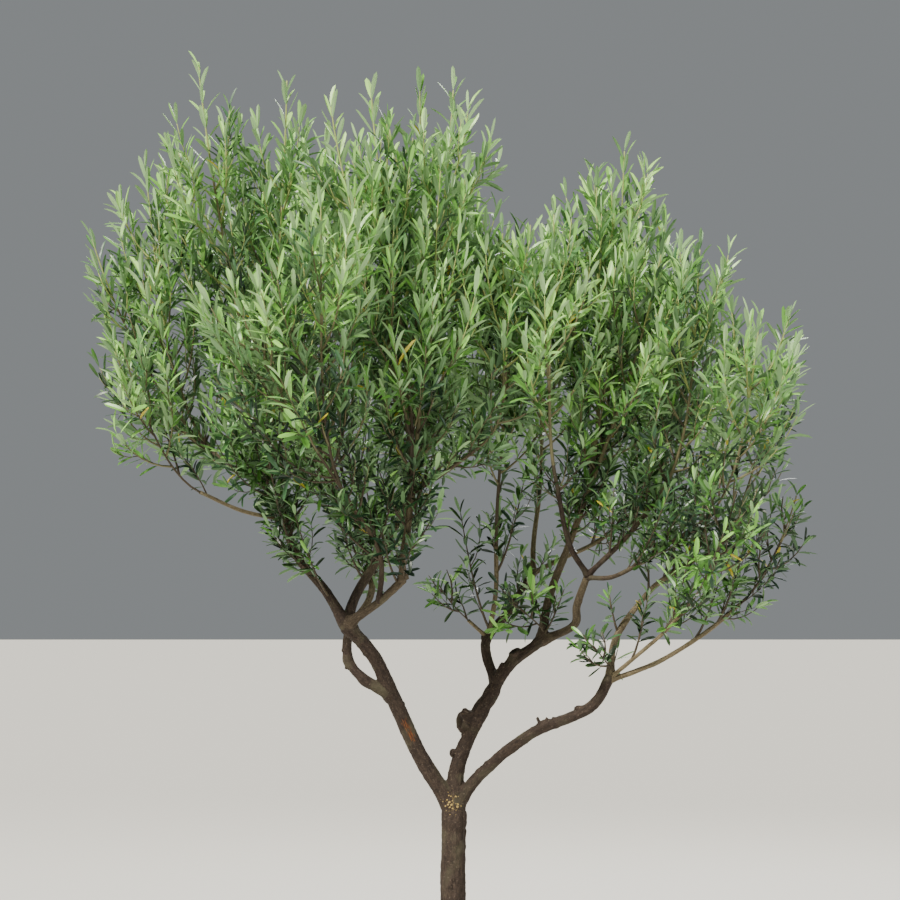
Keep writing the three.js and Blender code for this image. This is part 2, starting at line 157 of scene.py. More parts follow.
limb("right_rising_limb", "right_knee_limb", 1, [6, 4.5], [364, -65, 1136], [420, -92, 1208])
limb("right_long_limb", "right_knee_limb", 0.97, [5, 3.5], [333, -60, 1048], [444, -135, 1117],
     [502, -165, 1156])
limb("right_inner_limb", "right_bough", 1, [7, 4], [334, -60, 915], [398, -22, 1004], [435, 0, 1038],
     [536, 60, 1097])
limb("right_middle_limb", "right_bough", 0.99, [4.5, 3.5], [393, -125, 900], [425, -145, 929],
     [468, -175, 977])
limb("right_low_limb", "right_bough", 0.98, [5.5, 4], [377, -90, 853], [428, -95, 875], [524, -90, 935],
     [592, -75, 990])
print("limbs:", len(LIMBS), "total length, m:", round(sum(l["path"].length for l in LIMBS.values()), 2))

# %% [markdown]
# ## Making meshes from arrays
#
# A tree has far too many leaves for one Blender object each, and the export would drop instances. So numpy
# works out all the corners of a kind of thing at once, and one mesh takes them, with the number of the
# material that each triangle wears. Wood is made of closed round tubes along a Path.

# %% Mesh helper
def add_mesh(name, points, triangles, materials, wears=None):
    mesh = bpy.data.meshes.new(name)
    mesh.vertices.add(len(points))
    mesh.vertices.foreach_set("co", np.asarray(points, np.float32).ravel())
    mesh.loops.add(triangles.size)
    mesh.loops.foreach_set("vertex_index", triangles.astype(np.int32).ravel())
    mesh.polygons.add(len(triangles))
    mesh.polygons.foreach_set("loop_start", np.arange(0, triangles.size, 3, dtype=np.int32))
    for material in materials:
        mesh.materials.append(material)
    if wears is not None:
        mesh.polygons.foreach_set("material_index", wears.astype(np.int32))
    mesh.polygons.foreach_set("use_smooth", np.ones(len(triangles), bool))
    mesh.update(calc_edges=True)
    mesh.validate()
    made = bpy.data.objects.new(name, mesh)
    bpy.context.collection.objects.link(made)
    return made


# %% Tube helpers
def frames_of(path, shares):
    """Two directions square to the path at each share, carried along it without a twist."""
    tangents = path.tangent(shares)
    normal = outward(tangents[0], 0.0)
    normals = []
    for tangent in tangents:
        normal = unit(normal - tangent * np.dot(normal, tangent))
        normals.append(normal)
    normals = np.array(normals)
    return normals, np.cross(tangents, normals)


def tube(path, radii, sides, shares):
    """radii has one number for each share, or one for each share and side."""
    radii = np.asarray(radii, float).reshape(len(shares), -1) * np.ones(sides)
    a, b = frames_of(path, shares)
    angles = 2 * np.pi * np.arange(sides) / sides
    rings = (path.at(shares)[:, None] + radii[:, :, None]
             * (np.cos(angles)[None, :, None] * a[:, None] + np.sin(angles)[None, :, None] * b[:, None]))
    points = np.vstack([rings.reshape(-1, 3), path.at([shares[0], shares[-1]])])
    k = np.arange(sides)
    turn = (k + 1) % sides
    ring = (np.arange(len(shares) - 1) * sides)[:, None]
    low, low_next, high, high_next = ring + k, ring + turn, ring + sides + k, ring + sides + turn
    walls = np.stack([low, low_next, high_next, low, high_next, high], -1).reshape(-1, 3)
    last = (len(shares) - 1) * sides
    foot_cap = np.stack([turn, k, np.full(sides, len(points) - 2)], -1)
    head_cap = np.stack([last + k, last + turn, np.full(sides, len(points) - 1)], -1)
    return points, np.vstack([walls, foot_cap, head_cap])


def gathered(parts):
    """Many (points, triangles) as one."""
    offsets = np.cumsum([0, *(len(points) for points, _ in parts[:-1])])
    triangles = np.vstack([faces + offset for (_, faces), offset in zip(parts, offsets)])
    return np.vstack([points for points, _ in parts]), triangles


def between(pair, share):
    return pair[0] + (pair[1] - pair[0]) * share


# %% [markdown]
# ## Colours and a way to write materials
#
# Colours are written as sRGB hex, as a paint shop would give them, and one function turns them to the
# linear numbers that Blender's sockets take. A material is a Principled shader. Numbers that are the same
# all over go on its own sockets, and one function adds any other node, with its settings and its links.

# %% Colour and node helpers
def linear(colour):
    channels = [int(colour[i:i + 2], 16) / 255 for i in (1, 3, 5)]
    return [c / 12.92 if c <= 0.04045 else ((c + 0.055) / 1.055) ** 2.4 for c in channels] + [1.0]


def new_material(name, **sockets):
    material = bpy.data.materials.new(name)
    material.use_nodes = True
    shader = material.node_tree.nodes["Principled BSDF"]
    for socket, value in sockets.items():
        words = socket.replace("_", " ").title().replace("Ior", "IOR")
        shader.inputs[words].default_value = value
    return material, shader


def add_node(material, kind, output, inputs=(), steps=(), **settings):
    """Adds a node with its settings and inputs, and gives back one of its outputs.

    An input is a value, or another node's output to link. A colour ramp's steps are (position, hex) pairs.
    """
    tree = material.node_tree
    node = tree.nodes.new("ShaderNode" + kind)
    for name, value in settings.items():
        setattr(node, name, value)
    for name, value in dict(inputs).items():
        if isinstance(value, bpy.types.NodeSocket):
            tree.links.new(value, node.inputs[name])
        else:
            node.inputs[name].default_value = value
    for i, (position, colour) in enumerate(steps):
        elements = node.color_ramp.elements
        element = elements[i] if i < len(elements) else elements.new(position)
        element.position = position
        element.color = linear(colour)
    return node.outputs[output]


# %% [markdown]
# ## Bark
#
# The bark of a young olive is thin, dull and rough like coarse sandpaper, with short cracks along the limb
# and small pale pores. The trunk and the boughs are dark grey-brown, and limbs of a few years ago are
# grey-tan, since the green layer under their thin bark still shows through. One material does all of it.
# Each vertex of the wood will carry its place on its limb, round it and along it, as limb_place, and the
# limb's radius there, which decides its age, as limb_width. On a few thin limbs in the crown's shade that
# number is raised, so that their bark is darkened as painted shade. Cracks are noise of 4 mm across the
# limb and 14 mm along it, so they follow every bend. The pores are dots in Voronoi cells of 7 mm. Bark has
# only a broad, weak sheen.

# %% Olive bark, old and young
CRACK_WIDTH, CRACK_LENGTH, GRAIN_SIZE = 4 * MM, 14 * MM, 1.8 * MM
PORE_SPACING, PATCH_SIZE = 7 * MM, 60 * MM
OLD_STEPS = [(0.32, "#17110d"), (0.48, "#30261f"), (0.6, "#43372e"), (0.78, "#65574a")]
YOUNG_STEPS = [(0.32, "#433a2b"), (0.48, "#665b45"), (0.6, "#83775d"), (0.78, "#a2967c")]
YOUNG_RADIUS, OLD_RADIUS = 4.6 * MM, 9.2 * MM
ALGAE_COLOUR, PORE_COLOUR = linear("#5c5a44"), linear("#85796a")

BARK, bark_shader = new_material("rough_olive_bark", roughness=0.85, specular_ior_level=0.3)
place = add_node(BARK, "Attribute", "Vector", attribute_name="limb_place")
width, near_scrape, near_lichen, rotten = (
    add_node(BARK, "Attribute", "Fac", attribute_name=name)
    for name in ("limb_width", "scraped", "lichened", "rotten"))

crack_scale = (1 / CRACK_WIDTH, 1 / CRACK_WIDTH, 1 / CRACK_LENGTH)
along = add_node(BARK, "Mapping", "Vector", {"Vector": place, "Scale": crack_scale})
cracks = add_node(BARK, "TexNoise", "Fac", {"Vector": along, "Scale": 1.0, "Detail": 5.0, "Roughness": 0.7})
grain = add_node(BARK, "TexNoise", "Fac", {"Vector": place, "Scale": 1 / GRAIN_SIZE, "Detail": 3.0})
rough = add_node(BARK, "Mix", "Result", {"Factor": 0.45, "A": cracks, "B": grain})
old_skin = add_node(BARK, "ValToRGB", "Color", {"Fac": rough}, OLD_STEPS)
young_skin = add_node(BARK, "ValToRGB", "Color", {"Fac": rough}, YOUNG_STEPS)
# On the thin limbs in the crown's shade the width is raised, so this mix also paints shade as older bark.
age_and_painted_shade = add_node(BARK, "MapRange", "Result", {
    "Value": width, "From Min": YOUNG_RADIUS, "From Max": OLD_RADIUS})

patches = add_node(BARK, "TexNoise", "Fac", {"Vector": place, "Scale": 1 / PATCH_SIZE, "Detail": 4.0})
algae = add_node(BARK, "MapRange", "Result", {
    "Value": patches, "From Min": 0.52, "From Max": 0.7, "To Max": 0.45})
cells = add_node(BARK, "TexVoronoi", "Distance", {"Vector": place, "Scale": 1 / PORE_SPACING})
pores = add_node(BARK, "MapRange", "Result", {
    "Value": cells, "From Min": 0.2, "From Max": 0.1, "To Max": 0.3})
print("bark cracks, mm:", round(CRACK_WIDTH / MM), "by", round(CRACK_LENGTH / MM))

# %% [markdown]
# Three things on the bark have a place of their own, and each gets an attribute that fades from its middle.
# On the left bough a strip of outer bark was scraped off and shows the orange-brown inner bark in torn
# fibres, which make its edge ragged too. Below the fork the trunk has small specks of yellow crust lichen,
# in cells of 5 mm. The hollow ends of old cuts are dark with rot. Each layer of colour goes over the ones
# before it.

# %% Scrape, lichen and rot, and the layers of colour
SCRAPE_STEPS = [(0.4, "#2a170e"), (0.5, "#4a2916"), (0.6, "#6b3d1e"), (0.72, "#8f5a2c")]
FIBRE_WIDTH, FIBRE_LENGTH, LICHEN_SPACING = 1.5 * MM, 18 * MM, 5 * MM
LICHEN_COLOUR, ROT_COLOUR = linear("#b0975a"), linear("#231912")

fibre_scale = (1 / FIBRE_WIDTH, 1 / FIBRE_WIDTH, 1 / FIBRE_LENGTH)
torn = add_node(BARK, "Mapping", "Vector", {"Vector": place, "Scale": fibre_scale})
fibres = add_node(BARK, "TexNoise", "Fac", {"Vector": torn, "Scale": 1.0, "Detail": 2.0})
inner_bark = add_node(BARK, "ValToRGB", "Color", {"Fac": fibres}, SCRAPE_STEPS)
ragged = add_node(BARK, "Math", "Value", {0: near_scrape, 1: fibres}, operation="ADD")
scraped = add_node(BARK, "MapRange", "Result", {"Value": ragged, "From Min": 0.98, "From Max": 1.12})

crusts = add_node(BARK, "TexVoronoi", "Distance", {"Vector": place, "Scale": 1 / LICHEN_SPACING})
thinned = add_node(BARK, "Math", "Value", {0: near_lichen, 1: -0.45, 2: crusts},
                   operation="MULTIPLY_ADD")
lichen = add_node(BARK, "MapRange", "Result", {
    "Value": thinned, "From Min": 0.08, "From Max": 0.0, "To Max": 0.85})

colour = young_skin
for amount, over in ((age_and_painted_shade, old_skin), (algae, ALGAE_COLOUR), (pores, PORE_COLOUR), (scraped, inner_bark),
                     (lichen, LICHEN_COLOUR), (rotten, ROT_COLOUR)):
    colour = add_node(BARK, "Mix", 2, {"Factor": amount, 6: colour, 7: over}, data_type="RGBA")
bumps = add_node(BARK, "Bump", "Normal", {"Height": rough, "Strength": 0.9, "Distance": 1.4 * MM})
BARK.node_tree.links.new(colour, bark_shader.inputs["Base Color"])
BARK.node_tree.links.new(bumps, bark_shader.inputs["Normal"])
print("nodes in the bark:", len(BARK.node_tree.nodes))

# %% [markdown]
# The shoots that bear the leaves are smooth and straw-green, near the tips downy and paler still, and low
# in the crown, where they are oldest and stand in shade, grey-brown, a colour that is partly painted shade.
# Each of the three woods has one plain colour, as a pattern on so thin a shoot would not show.

# %% Shoot wood
SHADED_WOOD = new_material("grey_brown_twig_wood", base_color=linear("#4d4333"), roughness=0.8)[0]
YOUNG_WOOD = new_material("smooth_young_olive_wood", base_color=linear("#736d4d"), roughness=0.7)[0]
DOWNY_WOOD = new_material("downy_shoot_wood", base_color=linear("#a2ab66"), roughness=0.8)[0]

# %% [markdown]
# ## Wood: tubes, joined and carved
#
# A fork on a real tree has no seam, and the limb has a swollen collar at its root. To get that, each thick
# limb is swept as a tube that starts inside its bough and widens at its root. A voxel remesh melts all the
# tubes into one skin, and a smoothing pass rounds the creases. The thin limbs would vanish between voxels,
# so they stay tubes of their own.

# %% Sweep the thick limbs
HEAVY_RADIUS = 6.5 * MM  # a limb that starts thicker than this is melted into the bough
HEAVY_SIDES, HEAVY_STEP = 28, 5 * MM
BARK_THICKNESS = 0.7 * MM
FLARE, FLARE_HEIGHT, FLARE_LOBES, LOBE_DEPTH = 19 * MM, 60 * MM, 5, 0.28
COLLAR, COLLAR_REACH = 0.45, 1.6  # how much a limb widens at its root, and how far in radii of its bough
HEAVY = [name for name, made in LIMBS.items() if made["radii"][0] > HEAVY_RADIUS]


def limb_tube(name, sides, step):
    made = LIMBS[name]
    path = made["path"]
    rings = max(4, round(path.length / step))
    shares = np.arange(rings + 1) / rings
    along = shares * path.length
    radii = between(made["radii"], shares)
    if name in HEAVY:
        radii = radii + BARK_THICKNESS
    if made["on"]:
        parent = LIMBS[made["on"]]["radii"].mean()
        radii = radii * (1 + COLLAR * np.exp(-((along / (COLLAR_REACH * parent)) ** 2)))
        return tube(path, radii, sides, shares)
    flare = FLARE * np.exp(-along / FLARE_HEIGHT)
    lobed = 1 + LOBE_DEPTH * np.cos(FLARE_LOBES * 2 * np.pi * np.arange(sides) / sides)
    return tube(path, radii[:, None] + flare[:, None] * lobed, sides, shares)


heavy_tubes = [limb_tube(name, HEAVY_SIDES, HEAVY_STEP) for name in HEAVY]
print("melted limbs:", HEAVY)

# %% [markdown]
# Pruning leaves marks. Where a shoot was cut off, the bark swells round the cut, and a short stub with a
# hollow end stays. The tree has a big one low on the middle bough, with smaller ones below and above it,
# and a thin forked stub on the right bough. Small knots stand all along the boughs, where leaves and twigs
# once stood. They are short closed tubes too, and the remesh will melt them in.

# %% Pruning stubs and swellings
STUB_SHARES = np.array([0, 0.25, 0.55, 0.8, 0.94, 1, 0.97, 0.84, 0.8])
STUB_WIDTHS = np.array([1.6, 1.25, 1.05, 1.12, 1.14, 0.98, 0.7, 0.56, 0.1])
HOLLOW_AT, HOLLOW_WIDTH = 0.92, 0.45  # shares of the stub's length and of its width
STUB_SIDES, LUMP_SIDES, LUMP_RINGS = 16, 12, 9
HOLLOWS = []  # the middle of each hollow end and how wide it is


def stub(on, at, lean, width, length):
    """It points in the direction lean. Its width, and its length from the limb's middle, are in mm."""
    foot = LIMBS[on]["path"].at(at)
    head = foot + unit(lean) * length * MM
    HOLLOWS.append((foot + HOLLOW_AT * (head - foot), HOLLOW_WIDTH * width * MM))
    return tube(Path([foot, head]), STUB_WIDTHS * width * MM / 2, STUB_SIDES, STUB_SHARES)


def lump(on, at, lean, out, radius, stretch):
    """A rounded swelling, drawn out along the limb, whose middle lies out from the centreline."""
    path = LIMBS[on]["path"]
    middle = path.at(at) + unit(lean) * out * MM
    reach = radius * stretch * MM * path.tangent(at)
    shares = np.linspace(0, 1, LUMP_RINGS)
    radii = radius * MM * np.sqrt(np.clip(1 - (2 * shares - 1) ** 2, 0.01, 1))
    return tube(Path([middle - reach, middle + reach]), radii, LUMP_SIDES, shares)


# %% The marks of each limb
MARKS_ON = {
    "middle_bough": [
        (stub, 0.445, (-0.93, -0.45, 0.12), 36, 40), (lump, 0.46, (-0.85, -0.45, 0.3), 22, 16, 1.0),
        (lump, 0.47, (-0.8, -0.5, 0.5), 37, 7, 1.0), (lump, 0.44, (-0.9, -0.6, -0.35), 36, 8, 1.0),
        (lump, 0.43, (-0.6, -0.9, 0.1), 33, 7, 1.0), (lump, 0.42, (-0.7, -0.5, -0.1), 8, 18, 1.7),
        (lump, 0.5, (-0.5, -0.3, 0.3), 3, 18.5, 2.4), (lump, 0.6, (0.3, -0.3, 0.1), 2, 16.5, 2.4),
        (stub, 0.27, (-0.92, -0.4, 0.1), 15, 26), (lump, 0.7, (-0.3, -0.3, 0.8), 3, 15, 1.8),
        (stub, 0.765, (-0.8, -0.25, 0.5), 15, 17), (stub, 0.85, (-0.45, -0.35, 0.85), 23, 19),
        (lump, 0.84, (-0.3, -0.3, 0.8), 3, 14, 1.8), (lump, 0.98, (0, 0, 1), 2, 12.5, 1.5)],
    "right_bough": [
        (stub, 0.575, (-0.35, -0.2, 0.9), 6.5, 27), (stub, 0.585, (0.3, -0.3, 0.9), 5.5, 25),
        (stub, 0.63, (0.2, -0.4, 0.85), 7, 17), (lump, 0.59, (0, -0.2, 0.6), 3, 13, 1.8),
        (stub, 0.77, (-0.4, -0.2, 0.9), 12, 17), (lump, 0.78, (-0.2, -0.2, 1), 3, 11.5, 1.3)],
    "middle_left_limb": [(stub, 0.36, (-0.95, -0.2, 0.1), 6, 15)],
    "left_bough": [
        (stub, 0.55, (0.85, -0.45, 0.2), 9, 19), (lump, 0.62, (-0.8, -0.2, 0.2), 5, 17, 2),
        (lump, 0.97, (-0.2, -0.5, 0.3), 3, 17.5, 1.6), (stub, 0.93, (-0.4, -0.8, 0.3), 9, 22)],
    "loop_limb": [
        (stub, 0.55, (-0.9, -0.3, -0.3), 8, 16), (stub, 0.72, (-0.8, -0.4, 0.5), 7, 15),
        (lump, 0.3, (-0.4, -0.2, -0.6), 2, 12.5, 2), (lump, 0.62, (-0.7, -0.2, 0), 2, 12, 1.8)],
    "left_outer_limb": [(stub, 0.3, (-0.9, -0.3, 0.3), 6, 15)],
    "trunk": [
        (stub, 0.62, (0.35, 0.9, 0.15), 15, 32), (stub, 0.34, (-0.8, 0.6, 0.1), 13, 32),
        (lump, 0.93, (0.2, -0.5, 0), 5, 25, 1.6)],
}
marks = [make(on, *rest) for on, rows in MARKS_ON.items() for make, *rest in rows]
print("stubs and swellings:", len(marks))

# %% Knots, all along the thick limbs
KNOT_SEED, KNOT_STEP, KNOTS_FROM, KNOTS_TO = 5, 24 * MM, 0.1, 0.97
KNOT_RADII, KNOT_STRETCHES, KNOT_SUNK = (2.6, 4.8), (0.8, 1.6), 0.25  # the radii in millimetres
KNOT_BASE, KNOT_POWER = 12, 0.4  # they are those on a limb of this radius, and grow with its power
draw = np.random.default_rng(KNOT_SEED)
for name in HEAVY:
    path = LIMBS[name]["path"]
    for at in np.arange(KNOTS_FROM, KNOTS_TO, KNOT_STEP / path.length):
        local = between(LIMBS[name]["radii"] / MM, at)
        size = draw.uniform(*KNOT_RADII) * (local / KNOT_BASE) ** KNOT_POWER
        lean = outward(path.tangent(at), draw.uniform(0, 2 * math.pi))
        marks.append(lump(name, at, lean, local - KNOT_SUNK * size, size, draw.uniform(*KNOT_STRETCHES)))
print("with knots:", len(marks))

# %% Melt them into one skin
VOXEL = 2.4 * MM
SMOOTHINGS, SMOOTH_SHARE = 3, 0.5
raw = add_mesh("bark", *gathered([*heavy_tubes, *marks]), [])
remesh = raw.modifiers.new("melt", "REMESH")
remesh.mode = "VOXEL"
remesh.voxel_size = VOXEL
smooth = raw.modifiers.new("round", "SMOOTH")
smooth.iterations = SMOOTHINGS
smooth.factor = SMOOTH_SHARE
skin = bpy.data.meshes.new_from_object(raw.evaluated_get(bpy.context.evaluated_depsgraph_get()))
bpy.data.objects.remove(raw)
bark = bpy.data.objects.new("bark", skin)
bpy.context.collection.objects.link(bark)
print("bark:", len(skin.vertices), "vertices")

# %% [markdown]
# ## The bark's relief
#
# The relief is real geometry, so it holds in the exported mesh. Each vertex of the skin looks up the
# nearest point of a centreline. That gives its place along the limb and round it, and noise drawn in those
# two directions makes low ridges that run along every limb, however it leans.

# %% Noise from a lattice
def noise(points, seed):
    """Smooth noise from -1 to 1, from random numbers at whole-number places."""
    cell = np.floor(points).astype(np.int64)
    t = points - cell
    t = t * t * (3 - 2 * t)
    total = np.zeros(len(points))
    for corner in itertools.product((0, 1), repeat=3):
        x, y, z = (cell + corner).T
        mixed = (x * 73856093) ^ (y * 19349663) ^ (z * 83492791) ^ (seed * 2654435)
        mixed = ((mixed ^ (mixed >> 13)) * 1274126177) & 0x7FFFFFFF
        value = ((mixed ^ (mixed >> 16)) & 0xFFFF) / 32767.5 - 1
        total += value * np.prod(np.where(corner, t, 1 - t), axis=1)
    return total


# %% Where each vertex is on its limb
LOOKUP_STEP = 5 * MM
LIMB_OFFSET = 1.7  # metres, so that no two limbs wear the same stretch of pattern


def places_on_limbs(names, points):
    """For each point its limb_place, round and along the nearest limb, and that limb's radius there."""
    columns = []
    for index, name in enumerate(names):
        path = LIMBS[name]["path"]
        shares = np.linspace(0, 1, max(8, int(path.length / LOOKUP_STEP)))
        columns.append((path.at(shares), path.tangent(shares), np.stack(frames_of(path, shares), axis=1),
                        shares * path.length + LIMB_OFFSET * index, between(LIMBS[name]["radii"], shares)))
    centres, tangents, rounds, reaches, widths = map(np.concatenate, zip(*columns))
    tree = kdtree.KDTree(len(centres))
    for i, centre in enumerate(centres):
        tree.insert(centre, i)
    tree.balance()
    near = np.array([tree.find(point)[1] for point in points])
    off = points - centres[near]
    along = np.sum(off * tangents[near], axis=1)
    across = unit(np.einsum("nij,nj->ni", rounds[near], off) + 1e-9)
    return np.column_stack([across * widths[near, None], reaches[near] + along]), widths[near]


def read_mesh(items, field):
    values = np.zeros(len(items) * 3, np.float32)
    items.foreach_get(field, values)
    return values.reshape(-1, 3).astype(float)


def mark(wood, name, values):
    """Keeps a number, or three, at each vertex, for the bark's nodes to read."""
    kind, field = ("FLOAT_VECTOR", "vector") if values.ndim == 2 else ("FLOAT", "value")
    kept = wood.data.attributes.new(name, kind, "POINT")
    kept.data.foreach_set(field, values.astype(np.float32).ravel())


points = read_mesh(bark.data.vertices, "co")
normals = read_mesh(bark.data.vertex_normals, "vector")
places, widths = places_on_limbs(HEAVY, points)
mark(bark, "limb_place", places)
mark(bark, "limb_width", widths)

# %% Carve the relief
# The depths are shares of the limb's radius.
RIDGE_WIDTH, RIDGE_LENGTH, RIDGE_DEPTH = 6 * MM, 36 * MM, 0.06
SWELL_SIZE, SWELL_DEPTH = 45 * MM, 0.09
CRUMB_SIZE, CRUMB_DEPTH = 5.5 * MM, 0.04
FLAT_FOOT = 12 * MM  # the relief fades towards the cut at the foot, which stays flat

ridges = 1 - 2 * np.abs(noise(places / [RIDGE_WIDTH, RIDGE_WIDTH, RIDGE_LENGTH], 3))
relief = widths * (RIDGE_DEPTH * ridges + SWELL_DEPTH * noise(points / SWELL_SIZE, 9)
                   + CRUMB_DEPTH * noise(points / CRUMB_SIZE, 5))
points += normals * (relief * np.clip(points[:, 2] / FLAT_FOOT, 0, 1))[:, None]
points[:, 2] = np.maximum(points[:, 2], 0)
bark.data.vertices.foreach_set("co", points.astype(np.float32).ravel())
bark.data.update()
print("relief, mm: from", round(relief.min() / MM, 2), "to", round(relief.max() / MM, 2))

# %% Mark the scrape, the lichen and the hollows
SCRAPE_LINE = LIMBS["left_bough"]["path"].at(np.linspace(0.38, 0.47, 12)) + np.array([3, -15, 0]) * MM
SCRAPE_REACH, SCRAPE_STRENGTH = 22 * MM, 0.64
LICHEN_MIDDLE, LICHEN_REACH = np.array([-6, -26, 574]) * MM, 34 * MM
ROT_FULLNESS = 1.6  # a hollow is all dark until well out from its middle


def closeness(points, middles, reach):
    """1 at the nearest of some middles, fading to 0 at this reach from it."""
    apart = np.linalg.norm(points[:, None] - np.atleast_2d(middles)[None], axis=2)
    return np.clip(1 - apart.min(axis=1) / reach, 0, 1)


mark(bark, "scraped", SCRAPE_STRENGTH * closeness(points, SCRAPE_LINE, SCRAPE_REACH))
mark(bark, "lichened", closeness(points, LICHEN_MIDDLE, LICHEN_REACH))
rot = [np.clip(ROT_FULLNESS * closeness(points, hollow, width), 0, 1) for hollow, width in HOLLOWS]
mark(bark, "rotten", np.max(rot, axis=0))
bark.data.materials.clear()
bark.data.materials.append(BARK)
bark.data.polygons.foreach_set("use_smooth", np.ones(len(bark.data.polygons), bool))
print("bark triangles:", sum(len(face.vertices) - 2 for face in bark.data.polygons))

# %% Sweep the thin limbs
THIN_SIDES, THIN_STEP, DARK_RADIUS = 14, 6 * MM, 6 * MM
WOBBLES = ((0.6, 18 * MM, 40), (0.4, 6 * MM, 50))  # the weight, the size and the first seed of each
WOBBLE_DEPTH = 0.14
# These stand in the crown's shade, and painted shade darkens their bark
# to that of a limb so many times as thick.
PAINTED_SHADE_ON_LIMBS = {"dark_upright_limb": 2.2, "right_rising_limb": 1.6, "right_long_limb": 1.8, "crossing_limb": 1.8,
         "left_long_limb": 1.7, "front_left_limb": 1.6}
THIN = [name for name in LIMBS if name not in HEAVY]
dark_thin = [name for name in THIN if LIMBS[name]["radii"][0] >= DARK_RADIUS]
pale_thin = [name for name in THIN if name not in dark_thin]


def thin_limbs(name, members):
    parts, shade_darkening = [], []
    for index, member in enumerate(members):
        points, triangles = limb_tube(member, THIN_SIDES, THIN_STEP)
        wobble = sum(weight * noise(points / size, seed + index) for weight, size, seed in WOBBLES)
        centre = LIMBS[member]["path"].points
        near = centre[np.argmin(np.linalg.norm(points[:, None] - centre[None], axis=2), axis=1)]
        parts.append((near + (points - near) * (1 + WOBBLE_DEPTH * wobble)[:, None], triangles))
        shade_darkening.append(np.full(len(points), PAINTED_SHADE_ON_LIMBS.get(member, 1.0)))
    points, triangles = gathered(parts)
    made = add_mesh(name, points, triangles, [BARK])
    places, widths = places_on_limbs(members, points)
    mark(made, "limb_place", places)
    mark(made, "limb_width", widths * np.concatenate(shade_darkening))
    return made


dark_limbs = thin_limbs("dark_thin_limbs", dark_thin)
pale_limbs = thin_limbs("pale_thin_limbs", pale_thin)
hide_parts(*HEAVY)
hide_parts(*dark_thin)
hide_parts(*pale_thin)
print("thin limbs:", len(THIN))

# %% [markdown]
# ## The masses of foliage
#
# A mass grows from the tip of its limb to a tip of its own. Its stem leaves in the limb's direction and
# turns upright. Round it is the mass's space, a row of overlapping balls: as wide as its room in the
# middle, narrower at both ends. What grows outside it is left off, so that the crown keeps its outline and
# its gaps.

# %% Stems and their spaces
MASSES = []
SPACE_STEPS, SPACE_START, SPACE_SPAN, SPACE_FULLNESS = 12, 0.28, 0.6, 0.6
STEM_LEAVES, STEM_ARRIVES = 0.25, 0.35  # how far a stem holds its first and its last direction


def foliage(name, on, tip, room):
    parent = LIMBS[on]["path"]
    foot, tip = parent.at(1), np.array(tip) * MM
    reach = np.linalg.norm(tip - foot)
    leaning = unit(unit(tip - foot) + UP)
    stem = bezier(foot, foot + parent.tangent(1) * reach * STEM_LEAVES,
                  tip - leaning * reach * STEM_ARRIVES, tip)
    shares = np.arange(SPACE_STEPS + 1) / SPACE_STEPS
    radii = room * MM * np.sin(np.pi * (SPACE_START + SPACE_SPAN * shares)) ** SPACE_FULLNESS
    MASSES.append({"name": name, "stem": stem, "room": room * MM, "centres": stem.at(shares), "radii": radii,
                   "foot_radius": LIMBS[on]["radii"][1]})


# %% The masses
FOLIAGE = [  # each mass's name, its limb, and its tip and its room in millimetres
    ("far_left", "left_long_limb", [-768, -20, 1784], 82),
    ("left_shoulder", "left_long_limb", [-661, 70, 1942], 150),
    ("left_peak", "left_outer_limb", [-542, 0, 2150], 170),
    ("left_crest", "left_outer_limb", [-349, -60, 2113], 170),
    ("inner_left", "left_outer_limb", [-430, -180, 1440], 150),
    ("left_front", "front_left_limb", [-440, -430, 1640], 175),
    ("left_face", "front_left_limb", [-265, -410, 1830], 185),
    ("front_crest", "left_front_riser", [-256, -180, 2041], 160),
    ("inner_crest", "left_front_riser", [-175, -80, 2094], 150),
    ("centre_peak", "left_front_riser", [0, -60, 2092], 170),
    ("back_crest", "left_back_limb", [-73, 150, 2142], 180),
    ("back_centre", "left_back_limb", [36, 390, 1898], 185),
    ("rear_left", "left_rear_limb", [-341, 390, 2032], 190),
    ("rear_far_left", "left_rear_limb", [-559, 340, 1873], 185),
    ("low_left", "left_low_limb", [-680, -240, 1549], 120),
    ("bridge", "crossing_limb", [101, -120, 1787], 170),
    ("spur", "middle_spur", [-46, 40, 1060], 90),
    ("middle_tuft", "middle_bough", [105, -60, 1030], 110),
    ("rear_middle", "rear_upright_limb", [178, 310, 1737], 180),
    ("rear_right", "rear_right_limb", [542, 350, 1652], 180),
    ("rear_peak", "rear_right_limb", [410, 340, 1873], 180),
    ("middle", "middle_upright_limb", [140, 30, 1802], 150),
    ("right_crest", "middle_fork_limb", [300, -20, 1915], 150),
    ("right_peak", "crown_right_limb", [364, 60, 1980], 150),
    ("right_face", "middle_fork_limb", [434, -150, 1761], 160),
    ("dark_limb", "dark_upright_limb", [206, -140, 1824], 160),
    ("right_shoulder", "right_rising_limb", [511, -110, 1754], 150),
    ("right_outer", "right_long_limb", [625, -220, 1600], 160),
    ("far_right", "right_inner_limb", [700, 120, 1565], 115),
    ("low_front", "right_middle_limb", [570, -320, 1250], 140),
    ("low_right", "right_low_limb", [720, -60, 1245], 85),
    ("fork_tuft", "right_bough", [276, -125, 930], 80),
]
for row in FOLIAGE:
    foliage(*row)


def depth_in(mass, points):
    """How far points lie outside a mass's space; below zero is inside."""
    apart = np.linalg.norm(points[:, None] - mass["centres"][None], axis=2) - mass["radii"][None]
    return apart.min(axis=1)


print("masses:", len(MASSES), "stems, m:", round(sum(mass["stem"].length for mass in MASSES), 1))

# %% [markdown]
# ## Shoots and the places of the leaves
#
# Olive leaves stand in pairs, each a quarter turn round from the last. Low on a shoot they spread wide, and
# towards its tip they are younger and close to upright. Leaves in the light grow larger, and those low in
# the crown stay shorter and rounder and spread wider. All leaves of a shoot are one spray and share a tone,
# from 0 for the darkest to 1 for the lightest.

# %% One shoot with its leaves
LEAF_LENGTH = 52 * MM
